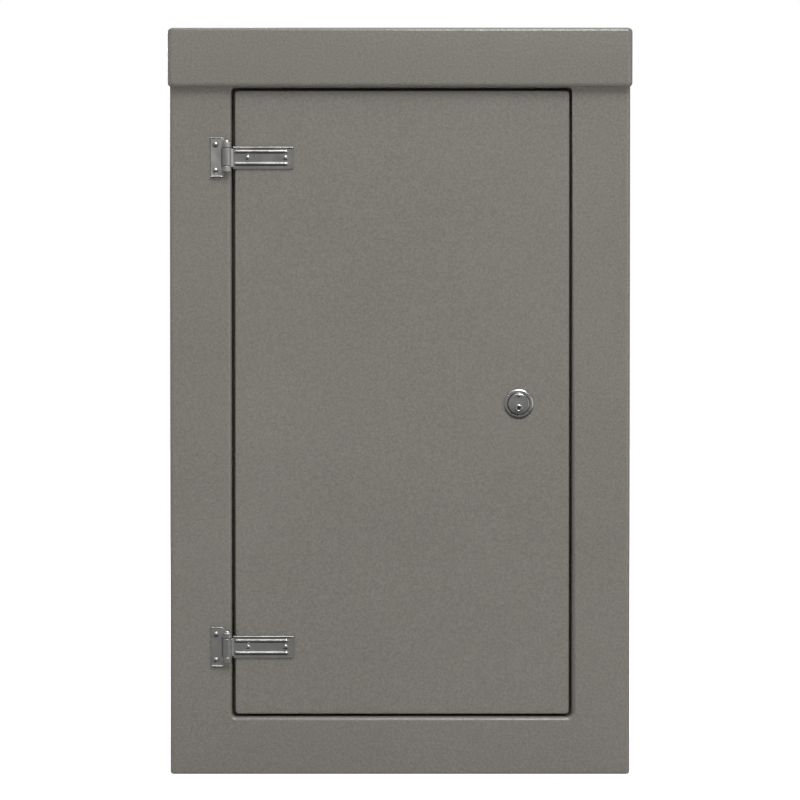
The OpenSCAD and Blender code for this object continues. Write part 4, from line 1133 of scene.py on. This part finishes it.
class KIOSK_OT_conduits(bpy.types.Operator):
    """Makes the conduits, smooth tubes with couplings and bungs, their saddles and the supply spur."""

    bl_idname = "kiosk.conduits"
    bl_label = "Conduits and spur"

    def execute(self, context):
        white = moulded(tuple(colours().white_plastic), 0.34, 900)
        unit_low, unit_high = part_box("unit_back_box")
        for name in ("loop_conduit", "sounder_conduit"):
            self.make_riser(name, white, unit_high.x)
        self.make_supply(white, unit_low.x)
        softened("conduit_saddles", 0.7 * MM, white)
        softened("spur_box", 1.2 * MM, white, 3)
        softened("spur_plate", 1.2 * MM, white, 3)
        softened("fuse_carrier", 0.8 * MM, moulded((0.45, 0.02, 0.015), 0.35, 900), 3)
        return {"FINISHED"}

    def bung(self, x, y, z):
        """A rubber bung with a short length of cable through it, closing a conduit's lower end."""
        radius = np.array([0, 3.6, 3.6, 9.0, 11.4, 11.4, 10.2, 0]) * MM
        height = np.array([-26, -26, -4.5, -4.5, -2.5, 1.5, 2.5, 2.5]) * MM
        return (*spun(radius, z + height, x, y), rubber())

    def make_riser(self, name, white, side_x):
        """A riser: straight up, a quarter circle towards the unit, and a level run into its side."""
        low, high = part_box(name)
        radius, bend, nut_radius = 10 * MM, 30 * MM, 15 * MM
        x, y = high.x - radius, (low.y + high.y) / 2
        turn_z = high.z - nut_radius
        bend_foot = turn_z - bend
        curve = arc((x - bend, bend_foot), bend, 0, 90, 14)
        path = np.concatenate([[[x, y, low.z], [x, y, bend_foot - 5 * MM]], upright(curve, y),
                               [[low.x, y, turn_z]]])
        coupling = [[x, y, bend_foot - down * MM] for down in (30, 29.4, 2.6, 2)]
        nut = np.array([[side_x, *p] for p in arc((y, turn_z), nut_radius, 90, 390, 5)])
        nut_rings = np.array([nut, nut + [5 * MM, 0, 0]])
        parts = [(*tube(path, radius, 28), white),
                 (*tube(coupling, np.array([11, 11.8, 11.8, 11]) * MM, 28), white),
                 (*surface(nut_rings, caps=True), white), self.bung(x, y, low.z)]
        build(name + "_bent", parts, "root", (name,), smooth=40)

    def make_supply(self, white, side_x):
        """The supply's riser into the spur, and the short link from the spur to the unit."""
        low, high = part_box("supply_conduit")
        spur_low, spur_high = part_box("spur_box")
        y = (low.y + high.y) / 2
        x, level_z = spot("spur_box")
        radius, overlap, length = 10 * MM, 4 * MM, 5 * MM

        def collar(start, step):
            """A bevelled collar: radii along a short run."""
            run = np.array([0, 0.08, 0.9, 1.0])[:, None]
            return (*tube(np.array(start) + run * np.array(step), np.array([0.93, 1, 1, 0.93]) * 14 * MM, 32),
                    white)

        parts = [(*tube([[x, y, low.z], [x, y, spur_low.z + overlap]], radius, 28), white),
                 (*tube([[spur_high.x - overlap, y, level_z], [high.x, y, level_z]], radius, 28), white),
                 collar((x, y, spur_low.z - length), (0, 0, length)),
                 collar((spur_high.x, y, level_z), (length, 0, 0)),
                 collar((side_x - length, y, level_z), (length, 0, 0)), self.bung(x, y, low.z)]
        build("supply_conduit_run", parts, "root", ("supply_conduit",), smooth=40)


# ---------------------------------------------------------------- the control unit

class KIOSK_OT_unit_case(bpy.types.Operator):
    """Finishes the control unit's case, cover, fascia, display, lamps, locks and buttons."""

    bl_idname = "kiosk.unit_case"
    bl_label = "Control unit case"

    def execute(self, context):
        red = powder_coat()
        softened("unit_back_box", 0.4 * MM, red)
        softened("unit_cover", 0.5 * MM, red)
        softened("unit_fascia", 0.15 * MM, fascia_film())
        self.make_display()
        self.make_lamps()
        softened("unit_hinge_pins", 0.3 * MM, zinc())
        for name in ("unit_lock_barrel", "access_barrel"):
            softened(name, 0.4 * MM, stainless())
        for name in ("unit_lock_core", "access_core"):
            softened(name, 0.25 * MM, brass())
        grey = moulded((0.16, 0.17, 0.18), 0.4, 900)
        signal = moulded((0.5, 0.02, 0.015), 0.36, 900)
        for name in ("silence_button", "reset_button", "test_button"):
            self.make_button(name, grey, "button_grey")
        self.make_button("evacuate_button", signal, "button_red")
        return {"FINISHED"}

    def make_display(self):
        """The display: a dark window inside a slim black bezel."""
        low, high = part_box("display_window")
        face, foot, corner = low.y, high.y, 1 * MM
        inset, ease = 3 * MM, 0.3 * MM

        def rings(*rows):
            """Rings round the window, each grown and set back as its row says."""
            return frame_rings((low.x, high.x), (low.z, high.z), [(*row, corner) for row in rows], 3)

        bezel = rings((0, foot), (0, face + ease), (-ease, face), (-inset, face),
                      (-inset - ease, face + ease), (-inset - ease, foot))
        pane = rings((-inset, foot), (-inset, face + 0.35 * MM), (-inset - corner, face + ease))
        parts = [(*surface(bezel, along=True), black_trim()), (*surface(pane, caps=True), display_glass())]
        build("display_pane", parts, "unit_door", ("display_window",), smooth=30)

    def make_lamps(self):
        """Fifteen lamps in three columns, red, amber and green, each a dome in a thin black collar."""
        low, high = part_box("status_lamps")
        radius = 2.5 * MM
        xs = np.linspace(low.x + radius, high.x - radius, 3)
        zs = np.linspace(low.z + radius, high.z - radius, 5)
        hues = ((0.5, 0.02, 0.015), (0.65, 0.3, 0.02), (0.04, 0.32, 0.06))
        face = low.y + 1.6 * MM
        collar = from_face([[2.3, 0.4], [2.3, -0.35], [2.5, -0.45], [3.1, -0.1], [3.2, 0.1], [3.2, 0.4],
                            [2.3, 0.4]], face)
        parts = []
        for x, hue in zip(xs, hues):
            for z in zs:
                parts.append((*dome((x, z), face, 2.3 * MM, 1.6 * MM, 20), lamp_lens(hue)))
                parts.append((*turned(collar, (x, z), 24), black_trim()))
        build("status_lamp_lenses", parts, "unit_door", ("status_lamps",), smooth=40)

    def make_button(self, name, material, slot):
        """A push button: a turned cap with a shallow dish, and the flange that holds it."""
        low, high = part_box(name)
        flange = (high.x - low.x) / 2
        cap, ease = flange - 2 * MM, 1.2 * MM
        flange_face, dish_depth = high.y - 2 * MM, 0.9 * MM
        out = np.linspace(0, 1, 6)
        dish = np.column_stack([out * (cap - 1.6 * MM), low.y + dish_depth * (1 - out ** 2) + 0.1 * MM])
        edge = arc((cap - ease, low.y + ease), ease, -90, 0, 5)
        rest = [[cap, flange_face], [flange, flange_face], [flange, high.y], [0, high.y]]
        shape = turned(np.concatenate([dish, edge, rest]), spot(name))
        build(name + "_cap", [(*shape, material)], body_of(name), (name,), smooth=40)


class KIOSK_OT_unit_inside(bpy.types.Operator):
    """Finishes what the control unit holds: board, terminals, supply, batteries and wires."""

    bl_idname = "kiosk.unit_inside"
    bl_label = "Control unit inside"

    def execute(self, context):
        softened("control_board", 0.15 * MM, solder_mask())
        softened("terminal_blocks", 0.4 * MM, moulded((0.02, 0.16, 0.07), 0.4, 900))
        softened("board_components", 0.4 * MM, moulded((0.02, 0.02, 0.022), 0.4, 900))
        softened("alarm_buzzer", 0.5 * MM, moulded((0.018, 0.018, 0.02), 0.45, 900))
        softened("power_supply", 0.5 * MM, case_steel())
        softened("battery_bracket", 0.3 * MM, zinc())
        self.make_batteries()
        self.make_wires()
        return {"FINISHED"}

    def make_batteries(self):
        """Two sealed batteries: a case with a stepped lid, vent caps and two tinned tabs."""
        low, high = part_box("standby_batteries")
        case = moulded(tuple(colours().black_plastic), 0.45, 420)
        parts = []

        def block(inset, z, radius, material):
            """A rounded block set in from the battery's sides by an inset in X and in Y."""
            shape = rounded_box((low.x + inset[0], low.y + inset[1], z[0]),
                                (high.x - inset[0], high.y - inset[1], z[1]), radius)
            parts.append((*shape, material))

        tall, tab_rise, lid_depth = 94 * MM, 6 * MM, 13 * MM
        for base in (low.z, high.z - tab_rise - tall):
            top = base + tall
            lid = top - lid_depth
            block((0.6 * MM, 0.6 * MM), (base, lid), 1.5 * MM, case)
            block((0, 0), (lid, top - 1.2 * MM), 1.5 * MM, case)
            block((30 * MM, 6 * MM), (top - 3 * MM, top), 1.0 * MM, case)
            for x in (low.x + 12 * MM, high.x - 12 * MM):
                tab = rounded_box((x - 3.2 * MM, low.y + 12 * MM, top - 3 * MM),
                                  (x + 3.2 * MM, low.y + 13 * MM, top + tab_rise), 0.3 * MM)
                parts.append((*tab, zinc()))
        build("battery_cases", parts, "root", ("standby_batteries",), smooth=40)

    def make_wires(self):
        """The unit's wires, each a smooth tube along its route, in the colour of its circuit."""
        sheath = {"red": (0.42, 0.012, 0.01), "black": (0.015, 0.015, 0.016), "brown": (0.12, 0.045, 0.02),
                  "blue": (0.015, 0.07, 0.32), "white": (0.62, 0.61, 0.58)}
        parts = []
        for colour, radius, route in WIRES:
            material = moulded(sheath[colour], 0.38, 1200)
            parts.append((*tube(smooth_path(np.array(route) * MM, 5), radius * MM, 10), material))
        build("unit_wires", parts, "root", ("unit_wiring",), smooth=60)


# Routes of the wires, in millimetres, each with its colour and its radius
WIRES = [
    # battery to board, and the link between the two batteries
    ("red", 1.6, [[-25, 117, 822.5], [-25, 117, 825], [-24, 121, 830], [-20, 135, 834], [-20, 147, 837],
                  [-20, 156.4, 837]]),
    ("black", 1.6, [[102, 117, 822.5], [102, 117, 824], [85, 119, 829], [30, 130, 834], [0, 138, 836],
                    [-4, 147, 838], [-4, 156.4, 838]]),
    ("blue", 1.6, [[102, 117, 716.5], [102, 117, 718], [96, 113, 719.2], [86, 106, 719.2], [74, 101, 719.2],
                   [50, 100.9, 724], [20, 100.9, 745], [0, 100.9, 780], [-8, 101, 806], [-8, 106, 822],
                   [0, 113, 826], [-9, 117, 825.5], [-22.2, 117, 824.6]]),
    # supply conduit to the power supply
    ("brown", 1.4, [[-114, 149, 821], [-107, 147, 819], [-100, 141, 812], [-99, 138, 803], [-99, 138, 795]]),
    ("blue", 1.4, [[-114, 153, 816], [-104, 153, 815], [-92, 146, 809], [-88, 139, 802], [-88, 138, 795]]),
    # power supply to board
    ("red", 1.4, [[-64, 138, 795], [-64, 138, 806], [-62, 142, 824], [-60, 148, 838], [-60, 156.4, 838]]),
    ("black", 1.4, [[-56, 138, 795], [-56, 138, 804], [-53, 142, 822], [-50, 148, 838], [-50, 156.4, 838]]),
    # detection loop to its terminals
    ("red", 1.2, [[114, 149, 868], [108, 149, 869], [101, 149, 880], [97, 150, 905], [84, 151, 930],
                  [75, 149, 944], [75, 149, 954]]),
    ("black", 1.2, [[114, 153, 864], [106, 152, 869], [96, 152, 884], [91, 152, 905], [74, 151.5, 928],
                    [63, 150, 944], [63, 149, 954]]),
    # sounder circuit to its terminals
    ("white", 1.2, [[114, 149, 908], [109, 146, 912], [103, 143, 921], [58, 142, 937], [21, 147, 944],
                    [15, 149, 949], [15, 149, 954]]),
    ("brown", 1.2, [[114, 153, 904], [107, 151, 907], [101, 147, 914], [80, 143.6, 923], [48, 144.6, 930],
                    [12, 148, 939], [3, 149, 947], [3, 149, 954]]),
]


# ---------------------------------------------------------------- the stage

class KIOSK_OT_stage(bpy.types.Operator):
    """Sets a pale floor, four soft lights and a camera square to the door."""

    bl_idname = "kiosk.stage"
    bl_label = "Stage"

    def execute(self, context):
        scene = context.scene
        scene.view_settings.view_transform = "Standard"
        self.make_floor()
        self.make_world(scene)
        waist = Vector((0, 0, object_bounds()[1].z * 0.55))
        self.make_light("key", (1.2, -4.2, 5.2), waist, 2.6, 215)
        self.make_light("side", (2.8, -2.0, 0.9), waist, 1.8, 7)
        self.make_light("top", (0.1, -0.6, 3.6), Vector((0.1, 0, 0)), 2.2, 7)
        self.make_light("rear", (-1.5, 3.2, 2.4), waist, 2.0, 62)
        self.make_camera(scene)
        return {"FINISHED"}

    def make_camera(self, scene):
        """A camera at waist height, whose frame is as wide as the given field at the kiosk's front."""
        distance, eye, field, aim_height = 3.2, 0.663, 1.330, 0.6239
        front = Vector((0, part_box("cabinet_shell")[0].y, 0))
        data = bpy.data.cameras.new("camera")
        data.sensor_width = 36
        data.lens = data.sensor_width * distance / field
        camera = bpy.data.objects.new("camera", data)
        scene.collection.objects.link(camera)
        camera.location = front + Vector((0, -distance, eye))
        look = front + Vector((0, 0, aim_height)) - camera.location
        camera.rotation_euler = look.to_track_quat("-Z", "Y").to_euler()
        scene.camera = camera

    def make_floor(self):
        """One large flat floor just under the object."""
        half, z = 14.0, -0.0002
        corners = [(-half, -half, z), (half, -half, z), (half, half, z), (-half, half, z)]
        mesh = bpy.data.meshes.new("floor")
        mesh.from_pydata(corners, [], [(0, 1, 2, 3)])
        mesh.materials.append(floor_paint())
        floor = bpy.data.objects.new("floor", mesh)
        floor.visible_glossy = False
        bpy.context.scene.collection.objects.link(floor)
        floor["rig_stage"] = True

    def make_world(self, scene):
        """A studio: white to the eye, and for the light a bright ceiling over grey walls."""
        world = bpy.data.worlds.new("studio")
        world.use_nodes = True
        scene.world = world
        tree = world.node_tree
        direction = node(tree, "TexCoord").outputs["Generated"]
        height = node(tree, "SeparateXYZ", {"Vector": direction}).outputs["Z"]
        tones = [(0.0, 0.04), (0.34, 0.1), (0.44, 0.26), (0.56, 0.26), (0.7, 0.22), (0.84, 0.45), (0.95, 1.0)]
        glow = grade(tree, reach(tree, height, -1, 1), [(at, (tone, tone, tone)) for at, tone in tones])
        seen = node(tree, "LightPath").outputs["Is Camera Ray"]
        colour = blend(tree, seen, glow, (1.0, 1.0, 1.0))
        background = tree.nodes["Background"]
        tree.links.new(colour, background.inputs["Color"])
        background.inputs["Strength"].default_value = 1.0

    def make_light(self, name, at, aim, size, power):
        """A square soft light that faces a point."""
        data = bpy.data.lights.new(name, "AREA")
        data.size = size
        data.energy = power
        light = bpy.data.objects.new(name, data)
        light.location = at
        light.rotation_euler = (aim - Vector(at)).to_track_quat("-Z", "Y").to_euler()
        bpy.context.scene.collection.objects.link(light)


# ---------------------------------------------------------------- panel and registration

OPERATORS = (KIOSK_OT_stage, KIOSK_OT_body, KIOSK_OT_canopy, KIOSK_OT_door, KIOSK_OT_seal, KIOSK_OT_vents,
             KIOSK_OT_hinges, KIOSK_OT_lock, KIOSK_OT_board, KIOSK_OT_conduits, KIOSK_OT_unit_case,
             KIOSK_OT_unit_inside)


class KIOSK_PT_panel(bpy.types.Panel):
    """Lists the kiosk's settings and its pieces."""

    bl_idname = "KIOSK_PT_panel"
    bl_label = "GRP kiosk"
    bl_space_type = "VIEW_3D"
    bl_region_type = "UI"
    bl_category = "Kiosk"

    def draw(self, context):
        layout = self.layout
        for settings in (context.scene.kiosk_sizes, context.scene.kiosk_colours):
            for name in settings.__annotations__:
                layout.prop(settings, name)
        for operator in OPERATORS:
            layout.operator(operator.bl_idname)


CLASSES = (KioskSizes, KioskColours, *OPERATORS, KIOSK_PT_panel)


def register():
    """Registers the classes and puts the settings on the scene."""
    for cls in CLASSES:
        bpy.utils.register_class(cls)
    bpy.types.Scene.kiosk_sizes = bpy.props.PointerProperty(type=KioskSizes)
    bpy.types.Scene.kiosk_colours = bpy.props.PointerProperty(type=KioskColours)


def unregister():
    """Removes the settings and the classes."""
    del bpy.types.Scene.kiosk_colours
    del bpy.types.Scene.kiosk_sizes
    for cls in reversed(CLASSES):
        bpy.utils.unregister_class(cls)


def main():
    """Registers the add-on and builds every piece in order."""
    register()
    for operator in OPERATORS:
        group, name = operator.bl_idname.split(".")
        getattr(getattr(bpy.ops, group), name)()


if __name__ == "__main__":
    main()
